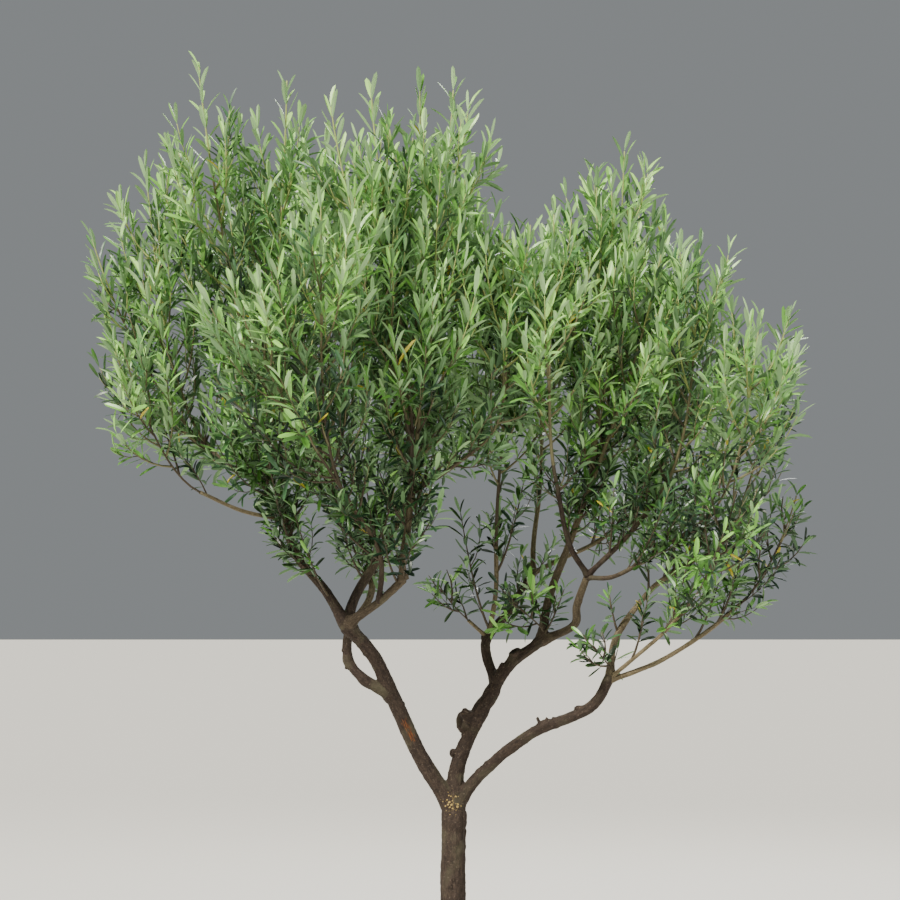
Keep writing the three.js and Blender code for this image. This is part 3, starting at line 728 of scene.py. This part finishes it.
# The bare share of a shoot's foot, the step from one pair to the next, and the size of the leaves.
LEAFING = {"stem": (0.45, 26 * MM, 1.0), "twig": (0.22, 26 * MM, 1.0), "side": (0.2, 15 * MM, 0.88),
           "on_limb": (0.15, 15 * MM, 0.9), "long": (0.3, 18 * MM, 0.95)}
SHADED_SIZE, SIZE_BY_TONE, SIZES = 0.86, 0.34, (0.9, 1.12)
SPREAD, CLOSING, CLOSING_POWER, LOW_SPREAD = 50, 34, 1.6, 14  # degrees from the shoot
SHORTEST, LONGER, LONG_START, LONG_SPAN = 0.82, 0.28, 0.15, 0.65  # leaves are longest past a shoot's middle
LENGTHS, WIDTHS = (0.8, 1.15), (0.85, 1.2)
TURNS, TILTS, RISES = (-0.3, 0.3), (-0.13, 0.13), (-0.05, 0.15)
FACE_UP = 0.4  # how much a leaf turns its upper side to the sky
LOW_HEIGHT, LOW_RANGE, LOW_SHORTER, LOW_WIDER = 1.5, 0.4, 0.2, 0.35

tubes = []  # (mass number, path, the radii at its foot and tip, whether the mass's space bounds it)
LEAF_FIELDS = ("mass", "bounded", "foot", "along", "upper", "length", "width", "tone", "young", "spray")
leaves = []


def lowness(height):
    return np.clip((LOW_HEIGHT - height) / LOW_RANGE, 0, 1)


def add_shoot(number, path, radii, kind, tone, draw, bounded=True, fresh=1.0):
    tubes.append((number, path, radii, bounded))
    bare, step, size = LEAFING[kind]
    pairs = max(2, round(path.length * (1 - bare) / step))
    azimuth = draw.uniform(0, 2 * math.pi)
    vigour = fresh * size * (SHADED_SIZE + SIZE_BY_TONE * tone) * draw.uniform(*SIZES)
    for i in range(pairs + 1):
        to_tip = i / pairs
        share = bare + (1 - bare) * to_tip
        foot, tangent = path.at(share), path.tangent(share)
        low = lowness(foot[2])
        spread = math.radians(SPREAD - CLOSING * to_tip ** CLOSING_POWER + LOW_SPREAD * low)
        length = (LEAF_LENGTH * vigour * (1 - LOW_SHORTER * low)
                  * (SHORTEST + LONGER * math.sin(math.pi * (LONG_START + LONG_SPAN * to_tip))))
        for turn in (0, math.pi):
            out = outward(tangent, azimuth + i * math.pi / 2 + turn + draw.uniform(*TURNS))
            tilt = spread + draw.uniform(*TILTS)
            along = unit(tangent * math.cos(tilt) + out * math.sin(tilt) + UP * draw.uniform(*RISES))
            facing = tangent + FACE_UP * UP
            leaves.append((number, bounded, foot, along, unit(facing - along * np.dot(facing, along)),
                           length * draw.uniform(*LENGTHS), draw.uniform(*WIDTHS) * (1 + LOW_WIDER * low),
                           tone, to_tip, len(tubes)))


# %% [markdown]
# The rule of growth is the solids' own: twigs leave the stem in a spiral by the golden angle, go outwards,
# bend and rise. It is carried a step further here, with side shoots on the lower part of each twig. The
# last stretch of every stem and twig bears leaves alone, and these slender tips make the crown's feathery
# outline.

# %% Twigs and side shoots
GOLDEN_ANGLE = math.radians(137.5)
TWIG_OUT, TWIG_ALONG, TWIG_LIFT = (0.35, 0.06), (0.3, 0.48), 0.13  # to its bend and on to its tip
SIDE_STEP, SIDE_LENGTH = 48 * MM, 95 * MM
SIDES_FROM, SIDES_TO = 0.08, 0.56  # the shares of a twig between which side shoots stand
SIDE_SHORTENING, SIDE_LENGTHS, FULL_TWIG = 0.4, (0.6, 1.25), 160 * MM
SIDE_RADII, SIDE_TONE = (1.2 * MM, 0.7 * MM), (-0.06, 0.1)
SIDE_SHIFTS, SIDE_TURNS = (0, 0.7), (0, 1)  # along the twig, in steps, and round it


def twig_path(parent, share, azimuth, length, spread=1.0):
    foot, tangent = parent.at(share), parent.tangent(share)
    out = spread * outward(tangent, azimuth)
    bend = foot + length * (out * TWIG_OUT[0] + tangent * TWIG_ALONG[0])
    end = bend + length * (out * TWIG_OUT[1] + tangent * TWIG_ALONG[1] + UP * TWIG_LIFT)
    return bezier(foot, bend, end, samples=10)


def clipped(tone):
    return float(np.clip(tone, 0, 1))


def side_shoots(number, twig, length, tone, draw, bounded=True):
    for j in range(int(length * (SIDES_TO - SIDES_FROM) / SIDE_STEP) + 1):
        place = min(SIDES_FROM + (j + draw.uniform(*SIDE_SHIFTS)) * SIDE_STEP / length, SIDES_TO)
        side_length = SIDE_LENGTH * (1 - SIDE_SHORTENING * place) * draw.uniform(*SIDE_LENGTHS)
        side_length *= min(1, length / FULL_TWIG)
        azimuth = j * GOLDEN_ANGLE + draw.uniform(*SIDE_TURNS)
        side = twig_path(twig, place, azimuth, side_length)
        add_shoot(number, side, SIDE_RADII, "side", clipped(tone + draw.normal(*SIDE_TONE)), draw, bounded)


# %% [markdown]
# Sprays are darkened as painted shade inside the crown and lightened as painted light high up in their lobe
# and on the outside. Two tufts of this year's shoots, straight from old wood, are lighter, with larger
# leaves, and the two lowest masses on the right stand in shade and are darkened further as painted shade.
# Some stems stay bare at the foot, where the limbs show through. A twig that would pass out of its mass's
# space is made shorter.

# %% The tone of a spray
CROWN_FOOT = 1.0
CROWN_TOPS = ([-0.78, -0.55, 0.0, 0.12, 0.36, 0.72], [1.95, 2.18, 2.12, 1.86, 2.05, 1.56])  # x, and z there
# Painted light and shade: sprays are lighter high in their lobe and out of their space, darker deeper in.
TONE_BASE, PAINTED_LIGHT_BY_HEIGHT, PAINTED_LIGHT_BY_DEPTH, TONE_SPREAD = 0.36, 0.34, 0.35, 0.19
# Fresh tufts are lighter, and the two low masses on the right are darkened as painted shade.
FRESH_AND_PAINTED_SHADE_SHIFTS = {"middle_tuft": 0.12, "fork_tuft": 0.12, "low_front": -0.22, "low_right": -0.1}


def height_in_lobe(points):
    """0 at the crown's foot, 1 at its top above or below each point."""
    return (points[..., 2] - CROWN_FOOT) / (np.interp(points[..., 0], *CROWN_TOPS) - CROWN_FOOT)


def spray_tone(mass, path, draw):
    tip = path.at(1)
    depth = depth_in(mass, tip[None])[0] / mass["room"]
    shift = FRESH_AND_PAINTED_SHADE_SHIFTS.get(mass["name"], 0.0)
    return clipped(TONE_BASE + PAINTED_LIGHT_BY_HEIGHT * height_in_lobe(tip) + PAINTED_LIGHT_BY_DEPTH * depth + shift
                   + draw.normal(0, TONE_SPREAD))


# %% Grow the masses by a seeded rule
FRESH_SIZES = {"middle_tuft": 1.05, "fork_tuft": 1.05}
BARE_FEET = {"middle": 0.12, "rear_middle": 0.1, "dark_limb": 0.12, "low_left": 0.12, "right_crest": 0.06,
             "right_face": 0.08, "middle_tuft": 0.15, "low_right": 0.12, "low_front": 0.14,
             "right_outer": 0.1, "far_right": 0.12}
FULL_STEM = 350 * MM  # the twigs of a shorter stem are shorter too
STEM_SLENDERNESS, STEM_SHARE, STEM_TIP_RADIUS = 0.01, 0.9, 1.4 * MM
TIP_LEAVES = 30 * MM  # how far the last leaves of a stem reach past its wood
TWIG_STEP, TWIGS_FROM, TWIGS_TO = 24 * MM, 0.03, 0.71
TWIG_LENGTH, TWIG_SHORTENING, TWIG_LENGTHS = 310 * MM, 0.58, (0.65, 1.25)
FOOT_TWIGS, FOOT_RISE = 0.5, 2  # how long a twig at the foot is, and how fast the next ones get longer
FOOT_SPREAD, FOOT_POWER = 1.6, 4  # how much wider the twigs at a stem's foot spread, and how fast it fades
TWIG_TURNS, GROWTH_SEED = (-0.4, 0.4), 101
TWIG_RADII, SHORTEST_TWIG, TRIM = (2.5 * MM, 0.9 * MM), 70 * MM, 0.85
LEAF_ROOM = 0.6 * LEAF_LENGTH  # how far inside the mass's space a twig ends, for its leaves


def grow(number, mass):
    draw = np.random.default_rng(GROWTH_SEED + number)
    stem = mass["stem"]
    small = min(1.0, stem.length / FULL_STEM)
    fresh = FRESH_SIZES.get(mass["name"], 1.0)
    bare = BARE_FEET.get(mass["name"], 0.0)
    wood = Path(stem.at(np.linspace(0, 1 - TIP_LEAVES / stem.length, 40)))
    radii = (min(STEM_SHARE * mass["foot_radius"], STEM_SLENDERNESS * stem.length), STEM_TIP_RADIUS)
    add_shoot(number, wood, radii, "stem", spray_tone(mass, stem, draw), draw, fresh=fresh)
    for k in range(max(3, round(stem.length * (TWIGS_TO - bare) / TWIG_STEP))):
        share = TWIGS_FROM + bare + k * TWIG_STEP / stem.length
        azimuth = k * GOLDEN_ANGLE + draw.uniform(*TWIG_TURNS)
        length = TWIG_LENGTH * small * (1 - TWIG_SHORTENING * share) * min(1, FOOT_TWIGS + FOOT_RISE * share)
        length *= draw.uniform(*TWIG_LENGTHS)
        spread = 1 + (FOOT_SPREAD - 1) * (1 - share) ** FOOT_POWER
        twig = twig_path(stem, share, azimuth, length, spread)
        while depth_in(mass, twig.at([0.5, 1])).max() > -LEAF_ROOM and length > SHORTEST_TWIG:
            length *= TRIM
            twig = twig_path(stem, share, azimuth, length, spread)
        tone = spray_tone(mass, twig, draw)
        add_shoot(number, twig, TWIG_RADII, "twig", tone, draw, fresh=fresh)
        side_shoots(number, twig, length, tone, draw)


for number, mass in enumerate(MASSES):
    grow(number, mass)
print("shoots:", len(tubes), "leaves placed:", len(leaves))

# %% [markdown]
# Short leafy shoots also stand on the limbs themselves, below the masses and mostly in shade. They hide
# where a limb enters its mass. The lowest limbs bear them only towards their tips, where pruning has left
# them. A few longer ones rise between the limbs, and each of these has its own place.

# %% Shoots on the limbs
# The share of each limb from which it bears short shoots.
LIMB_SHOOTS_FROM = {
    "left_outer_limb": 0.45, "left_long_limb": 0.05, "left_low_limb": 0.9, "left_back_limb": 0.4,
    "left_rear_limb": 0.3, "left_front_limb": 0.85, "left_front_riser": 0.5, "crossing_limb": 0.35,
    "front_left_limb": 0.5, "middle_left_limb": 0.7, "rear_upright_limb": 0.75, "rear_right_limb": 0.5,
    "middle_upright_limb": 0.8, "middle_fork_limb": 0.7, "crown_right_limb": 0.05, "dark_upright_limb": 0.7,
    "right_rising_limb": 0.4, "right_long_limb": 0.35, "right_inner_limb": 0.6, "right_middle_limb": 0.6,
    "right_low_limb": 0.75,
}
LIMB_SHOOT_STEP, LIMB_SHOOT_LENGTH, LIMB_SHOOT_LENGTHS = 17 * MM, 125 * MM, (0.45, 1.2)
LIMB_SHOOT_RADII, LONG_SHOOT_RADII = (1.7 * MM, 0.7 * MM), (3 * MM, 0.9 * MM)
LIMB_SHOOT_SIZES = (0.6, 1)  # towards the limb's root and at its tip
LIMB_SHOOT_SHIFTS, LIMB_SHOOT_TURNS, LIMB_SHOOT_SEED = (0, 0.8), (-0.5, 0.5), 77
FORKED_SHOOT = 90 * MM  # a shoot that is longer than this has side shoots
LONG_OUT, LONG_UP = 0.5, 0.25  # the shares of its way out and of its way up at which a long shoot bends
# Shoots on the limbs get dark sprays, as painted shade.
SHADED_TONE = (0.28, 0.13)  # the mean and the spread
# For each limb, from which share of it a long shoot rises, and its tip in millimetres.
LONG_SHOOTS = [
    ("left_outer_limb", (0.4, -395, 40, 1210), (0.22, -330, -165, 1190), (0.7, -385, -215, 1330),
     (0.8, -320, 60, 1320), (0.9, -260, -60, 1330)),
    ("left_long_limb", (0.2, -420, -150, 1370), (0.5, -470, 100, 1400)),
    ("left_front_limb", (0.9, -160, -225, 1190)),
    ("left_front_riser", (0.25, -35, -215, 1190), (0.6, -160, -260, 1290), (0.75, -40, -230, 1310)),
    ("left_back_limb", (0.35, -250, 60, 1190), (0.6, -190, 100, 1260)),
    ("left_rear_limb", (0.35, -240, 120, 1200), (0.6, -150, 130, 1240)),
    ("front_left_limb", (0.35, -290, -190, 1230), (0.6, -290, -280, 1300), (0.8, -170, -320, 1310),
     (0.5, -120, -240, 1230)),
    ("middle_upright_limb", (0.1, 14, 20, 1180), (0.7, 150, 40, 1260)),
    ("middle_bough", (0.97, 232, 25, 1020)),
    ("rear_right_limb", (0.35, 262, 180, 1160)),
    ("right_inner_limb", (0.25, 322, -80, 1010), (0.55, 410, 40, 1170), (0.75, 470, 110, 1240),
     (0.9, 560, 60, 1270)),
    ("right_middle_limb", (0.3, 398, -150, 1010), (0.75, 478, -190, 1090)),
    ("right_low_limb", (0.62, 560, -70, 1075), (0.8, 600, -110, 1120)),
    ("right_rising_limb", (0.3, 330, -120, 1230), (0.6, 400, -140, 1290), (0.8, 470, -60, 1320)),
    ("right_long_limb", (0.4, 440, -190, 1230), (0.6, 420, -80, 1270), (0.8, 520, -110, 1280)),
    ("rear_right_limb", (0.6, 330, 230, 1280), (0.8, 420, 250, 1310)),
    ("dark_upright_limb", (0.9, 290, -90, 1330)),
    ("middle_fork_limb", (0.9, 330, -20, 1290)),
]
# %% Grow the shoots on the limbs
feet = np.array([mass["stem"].at(0) for mass in MASSES])
draw = np.random.default_rng(LIMB_SHOOT_SEED)


def number_near(place):
    return int(np.argmin(np.linalg.norm(feet - place, axis=1)))


for name, start in LIMB_SHOOTS_FROM.items():
    path = LIMBS[name]["path"]
    for k in range(round(path.length * (1 - start) / LIMB_SHOOT_STEP)):
        share = min(start + (k + draw.uniform(*LIMB_SHOOT_SHIFTS)) * LIMB_SHOOT_STEP / path.length, 1)
        number = number_near(path.at(share))
        length = LIMB_SHOOT_LENGTH * draw.uniform(*LIMB_SHOOT_LENGTHS) * between(LIMB_SHOOT_SIZES, share)
        shoot = twig_path(path, share, k * GOLDEN_ANGLE + draw.uniform(*LIMB_SHOOT_TURNS), length)
        tone = clipped(draw.normal(*SHADED_TONE))
        add_shoot(number, shoot, LIMB_SHOOT_RADII, "on_limb", tone, draw, bounded=False)
        if length > FORKED_SHOOT:
            side_shoots(number, shoot, length, tone, draw, bounded=False)

for name, *rows in LONG_SHOOTS:
    for share, *tip in rows:
        foot, tip = LIMBS[name]["path"].at(share), np.array(tip) * MM
        number = number_near(tip)
        level = (tip - foot) * [1, 1, 0]
        shoot = bezier(foot, foot + LONG_OUT * level + LONG_UP * UP * (tip[2] - foot[2]), tip)
        tone = clipped(draw.normal(*SHADED_TONE))
        add_shoot(number, shoot, LONG_SHOOT_RADII, "long", tone, draw, bounded=False)
        side_shoots(number, shoot, shoot.length, tone, draw, bounded=False)
print("shoots:", len(tubes), "leaves placed:", len(leaves))

# %% Leave off what leaves its space
LEAF_PROUD, SHOOT_PROUD, TIP_PROUD = 4 * MM, 12 * MM, 0.4 * LEAF_LENGTH  # how far each may stand out of it
leaves = {field: np.array(values) for field, values in zip(LEAF_FIELDS, zip(*leaves))}
tips = leaves["foot"] + leaves["along"] * leaves["length"][:, None]
keep = ~leaves["bounded"]
for number, mass in enumerate(MASSES):
    mine = np.flatnonzero((leaves["mass"] == number) & leaves["bounded"])
    ahead = (tips[mine] - mass["stem"].at(1)) @ mass["stem"].tangent(1)
    keep[mine] = (depth_in(mass, tips[mine]) < LEAF_PROUD) & (ahead < TIP_PROUD)
leaves = {field: values[keep] for field, values in leaves.items()}
tubes = [entry for entry in tubes
         if not entry[3] or depth_in(MASSES[entry[0]], entry[1].at([0.6, 1])).max() < SHOOT_PROUD]
print("leaves kept:", len(leaves["mass"]), "shoots kept:", len(tubes))

# %% [markdown]
# ## Leaves
#
# An olive leaf is narrow and leathery, here about 50 mm by 8 mm, blunt, and widest past its middle. It is
# folded a little along the midrib, so that one half catches the light and the other doesn't. So each leaf
# is four strips of 6 triangles, two halves of an upper side and two of an underside, which lie half a
# millimetre apart along the midrib. The halves share no points, so smooth shading stops at the fold. Most
# leaves curve away from the shoot.

# %% One leaf, and all leaves from it
LEAF_STATIONS = np.array([0.0, 0.26, 0.6, 0.88, 1.0])
LEAF_HALF_WIDTHS = np.array([0.0, 0.06, 0.083, 0.064, 0.0])
LEAF_THICKNESS = 0.5 * MM
ROLL, BEND, SWAY = (0, 0.3), (-0.16, 0.13), (0, 0.05)  # the mean and the spread
FOLDED_SHARE, FOLDS, FOLDED_BACK = 0.8, (0.2, 0.75), -0.25

# A half runs from the root to the tip, and the stations between them have the midrib and then the edge.
POINT_STATIONS = np.array([0, 1, 1, 2, 2, 3, 3, 4])
POINT_EDGES = np.array([0, 0, 1, 0, 1, 0, 1, 0])
HALF = np.array([(0, 1, 2), (1, 3, 2), (2, 3, 4), (3, 5, 4), (4, 5, 6), (5, 7, 6)])


def leaf_arrays(chosen, seed):
    """The points and triangles of the chosen leaves: upper halves, then the halves of the undersides."""
    draw = np.random.default_rng(seed)
    count = len(chosen["foot"])
    along, upper = chosen["along"][:, None], chosen["upper"][:, None]
    side = np.cross(chosen["along"], chosen["upper"])[:, None]
    roll = draw.normal(*ROLL, (count, 1, 1))
    side, upper = side * np.cos(roll) + upper * np.sin(roll), upper * np.cos(roll) - side * np.sin(roll)
    bend = draw.normal(*BEND, (count, 1))
    sway = draw.normal(*SWAY, (count, 1))
    fold = np.where(draw.random((count, 1)) < FOLDED_SHARE, draw.uniform(*FOLDS, (count, 1)), FOLDED_BACK)
    s = LEAF_STATIONS[POINT_STATIONS][None]
    half_width = LEAF_HALF_WIDTHS[POINT_STATIONS][None] * chosen["width"][:, None] * POINT_EDGES
    forward = s * (1 - 0.5 * bend**2)
    rise = bend * s**2 + fold * half_width
    sunk = LEAF_THICKNESS * np.sin(np.pi * s) * (POINT_EDGES == 0)
    strips = []
    for layer in (0, 1):
        for hand in (-1, 1):
            across = hand * half_width + sway * s**2
            reach = forward[..., None] * along + across[..., None] * side + rise[..., None] * upper
            points = chosen["foot"][:, None] + chosen["length"][:, None, None] * reach
            strips.append(points - layer * sunk[..., None] * upper)
    size = len(POINT_STATIONS)
    faces = np.concatenate([HALF[:, ::-1], HALF + size, HALF + 2 * size, HALF[:, ::-1] + 3 * size])
    triangles = (faces[None] + (np.arange(count) * 4 * size)[:, None, None]).reshape(-1, 3)
    return np.stack(strips, axis=1).reshape(-1, 3), triangles


print("triangles to a leaf:", 4 * len(HALF))

# %% [markdown]
# The leaves' colours are plain base colours, dealt out by spray, the way a shoot's leaves share a season's
# growth, and each spray is darker as painted shade deep and low in the crown and lighter as painted light
# high and outside. There are seven tones for the upper side, from the dark green of old leaves, deepened by
# painted shade, to the yellow-green of new ones at the tips and of sprays with painted light, seven colder
# ones for a third of the sprays, and five paler ones for the underside. A few old leaves have turned yellow
# and will drop. The waxy cuticle gives the upper side a soft shine, and the underside, with its tiny silvery
# scales, is duller.

# %% Leaf materials
UPPER_TONES = ["#1b2f13", "#2d4b1c", "#436e2a", "#5e933a", "#7bb24e", "#93c962", "#a9d874"]
COLD_TONES = ["#1d3223", "#2b4931", "#3e653e", "#58864b", "#75a658", "#8cbd64", "#a0cf74"]
UNDER_TONES = ["#456341", "#5f8355", "#7aa16a", "#95bb80", "#acd194"]
YELLOW_TONE = "#bfb236"


def leaf_materials(name, tones, **finish):
    return [new_material(f"{name}_{i}", base_color=linear(tone), **finish)[0]
            for i, tone in enumerate(tones, 1)]


UPPERS = leaf_materials("leaf_upper_side", UPPER_TONES, roughness=0.38, specular_ior_level=0.5)
UNDERS = leaf_materials("leaf_silvery_underside", UNDER_TONES, roughness=0.65)
COLDS = leaf_materials("leaf_upper_side_cold", COLD_TONES, roughness=0.38, specular_ior_level=0.5)
YELLOWED = new_material("leaf_turned_yellow", base_color=linear(YELLOW_TONE), roughness=0.55)[0]
LEAF_MATERIALS = [*UPPERS, *UNDERS, *COLDS, YELLOWED]
print("leaf materials:", len(LEAF_MATERIALS))

# %% Which leaf wears which
COLD_SHARE, COLD_SEED = 0.35, 31
COLD_SPRAYS = np.random.default_rng(COLD_SEED).random(leaves["spray"].max() + 1) < COLD_SHARE
# Leaves low in the crown are darkened further, as painted shade.
LIGHTER, YOUNG_LIGHTER, LOW_PAINTED_SHADE, LEAF_SPREAD = 0.02, 0.25, 0.12, 0.08
YELLOW_CHANCE, LOW_YELLOW_CHANCE = 0.002, 0.008


def leaf_wears(chosen, seed):
    """The material number of each triangle, a leaf's upper side first and then its underside."""
    draw = np.random.default_rng(seed)
    count = len(chosen["tone"])
    low = lowness(chosen["foot"][:, 2])
    lightness = (chosen["tone"] + LIGHTER + YOUNG_LIGHTER * chosen["young"] ** 2 - LOW_PAINTED_SHADE * low
                 + draw.normal(0, LEAF_SPREAD, count))
    upper = np.clip((lightness * len(UPPERS)).astype(int), 0, len(UPPERS) - 1)
    under = len(UPPERS) + np.clip((lightness * len(UNDERS)).astype(int), 0, len(UNDERS) - 1)
    upper = np.where(COLD_SPRAYS[chosen["spray"]], upper + len(UPPERS) + len(UNDERS), upper)
    yellow = draw.random(count) < YELLOW_CHANCE + LOW_YELLOW_CHANCE * low
    worn = np.where(yellow[:, None], len(LEAF_MATERIALS) - 1, np.stack([upper, under], -1))
    return np.repeat(worn.reshape(-1), 2 * len(HALF))


# %% The wood of the shoots
# Wood is downy where it is thinner than this and so far up in its lobe, and grey-brown below the last
# share, where it is older and darkened as painted shade.
DOWNY_RADIUS, DOWNY_FROM, YOUNG_FROM = 2.3 * MM, 0.55, 0.3
HEIGHT_SHIFTS = (-0.12, 0.12)  # a shoot counts as so much lower or higher
STOUT_RADIUS = 3.45 * MM  # a shoot that starts thicker than this is a stout tube
STOUT_TUBE, SLIM_TUBE = (8, 18 * MM), (4, 24 * MM)  # the sides, and the step between two rings
TAPER = 0.75


def shoot_tubes(members, seed):
    draw = np.random.default_rng(seed)
    parts, wears = [], []
    for number, path, ends, _ in tubes:
        if number not in members:
            continue
        sides, step = STOUT_TUBE if ends[0] > STOUT_RADIUS else SLIM_TUBE
        rings = max(2, round(path.length / step))
        shares = np.arange(rings + 1) / rings
        radii = between(ends, shares ** TAPER)
        parts.append(tube(path, radii, sides, shares))
        height = height_in_lobe(path.at(shares)) + draw.uniform(*HEIGHT_SHIFTS)
        downy = (radii < DOWNY_RADIUS) & (height > DOWNY_FROM)
        wood = np.where(downy, 2, np.where(height > YOUNG_FROM, 1, 0))
        wears.append(np.append(np.repeat(wood[1:], 2 * sides), np.repeat(wood[[0, -1]], sides)))
    return *gathered(parts), [SHADED_WOOD, YOUNG_WOOD, DOWNY_WOOD], np.concatenate(wears)


# %% [markdown]
# The crown is joined in six parts, leaves apart from shoots, so that no piece passes 200,000 triangles. The
# leaves of a part replace the solids of its masses.

# %% Build the crown in parts
# Each part's slot in the record, and its masses.
PARTS = {
    "left_front": ("leaves_grey_green", "inner_left", "left_front", "left_face", "front_crest", "low_left",
                   "far_left"),
    "left_top": ("leaves_pale_green", "left_shoulder", "left_peak", "left_crest", "inner_crest",
                 "centre_peak"),
    "left_rear": ("leaves_deep_green", "back_crest", "back_centre", "rear_left", "rear_far_left"),
    "middle": ("leaves_grey_green", "bridge", "spur", "middle_tuft", "middle", "dark_limb", "fork_tuft"),
    "right_rear": ("leaves_deep_green", "rear_middle", "rear_right", "rear_peak", "far_right"),
    "right_front": ("leaves_pale_green", "right_crest", "right_peak", "right_face", "right_shoulder",
                    "right_outer", "low_front", "low_right"),
}
LEAF_SEED, WEAR_SEED, SHOOT_SEED = 500, 600, 700
numbers = {mass["name"]: number for number, mass in enumerate(MASSES)}
pieces = [bark, dark_limbs, pale_limbs]
for index, (part, (slot, *names)) in enumerate(PARTS.items()):
    members = [numbers[name] for name in names]
    mine = np.isin(leaves["mass"], members)
    chosen = {field: values[mine] for field, values in leaves.items()}
    points, triangles = leaf_arrays(chosen, LEAF_SEED + index)
    wears = leaf_wears(chosen, WEAR_SEED + index)
    leafage = add_mesh(part + "_leaves", points, triangles, LEAF_MATERIALS, wears)
    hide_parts(*(name + "_foliage" for name in names))
    shoots = add_mesh(part + "_shoots", *shoot_tubes(members, SHOOT_SEED + index))
    pieces += [leafage, shoots]
    print(part, "leaves:", mine.sum(), "triangles:", len(triangles), "of shoots:", len(shoots.data.polygons))

for piece in pieces:
    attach(piece, "root")

# %% [markdown]
# ## Floor, light and camera
#
# The tree stands on a plain pale floor in soft light: a hazy sun from above the viewer's left shoulder, a
# weak light from the right, one from behind that rims the crown, and an even pale sky that fills the shade.

# %% Floor
FLOOR = new_material("pale_floor", base_color=linear("#d9d7d0"), roughness=0.9)[0]
bpy.ops.mesh.primitive_plane_add(size=60)
floor = bpy.context.object
floor.name = "floor"
floor.data.materials.append(FLOOR)

# %% Soft studio light
CROWN_MIDDLE = np.array([0, 0, 1.4])
world = bpy.data.worlds.new("pale_sky")
world.use_nodes = True
sky = world.node_tree.nodes["Background"]
sky.inputs["Color"].default_value = linear("#e2e8eb")
sky.inputs["Strength"].default_value = 0.3
bpy.context.scene.world = world


def aimed_light(name, kind, place, energy, **settings):
    light = bpy.data.lights.new(name, kind)
    light.energy = energy
    for setting, value in settings.items():
        setattr(light, setting, value)
    made = bpy.data.objects.new(name, light)
    bpy.context.collection.objects.link(made)
    made.location = place
    away = unit(np.array(place) - CROWN_MIDDLE)
    made.rotation_euler = (math.acos(away[2]), 0, math.atan2(away[0], -away[1]))


aimed_light("hazy_sun", "SUN", (-2.4, -3.0, 5.6), 6.6, angle=math.radians(16), color=linear("#fffaf0")[:3])
aimed_light("fill_light", "AREA", (3.6, -2.4, 2.6), 60, size=2.4)
aimed_light("back_light", "AREA", (1.0, 4.0, 4.2), 160, size=2.4)

# %% [markdown]
# The photographer stood about 6.5 m away with a long lens, at eye level with the lower crown, and tipped
# the camera up a little. The picture ends above the foot of the trunk, and so does this camera's.

# %% Camera
CAMERA_DISTANCE, CAMERA_HEIGHT, CAMERA_SIDE = 6.5, 1.113, -0.0084
FRAME_WIDTH_AT_TREE = 1.89  # metres of the tree's plane that the picture spans
TILT_UP = math.radians(1.76)
SENSOR_WIDTH = 36
camera_data = bpy.data.cameras.new("camera")
camera_data.sensor_width = SENSOR_WIDTH
camera_data.lens = SENSOR_WIDTH * CAMERA_DISTANCE / FRAME_WIDTH_AT_TREE
camera = bpy.data.objects.new("camera", camera_data)
bpy.context.collection.objects.link(camera)
camera.location = (CAMERA_SIDE, -CAMERA_DISTANCE, CAMERA_HEIGHT)
camera.rotation_euler = (math.pi / 2 + TILT_UP, 0, 0)
bpy.context.scene.camera = camera
print("lens, mm:", round(camera_data.lens, 1))
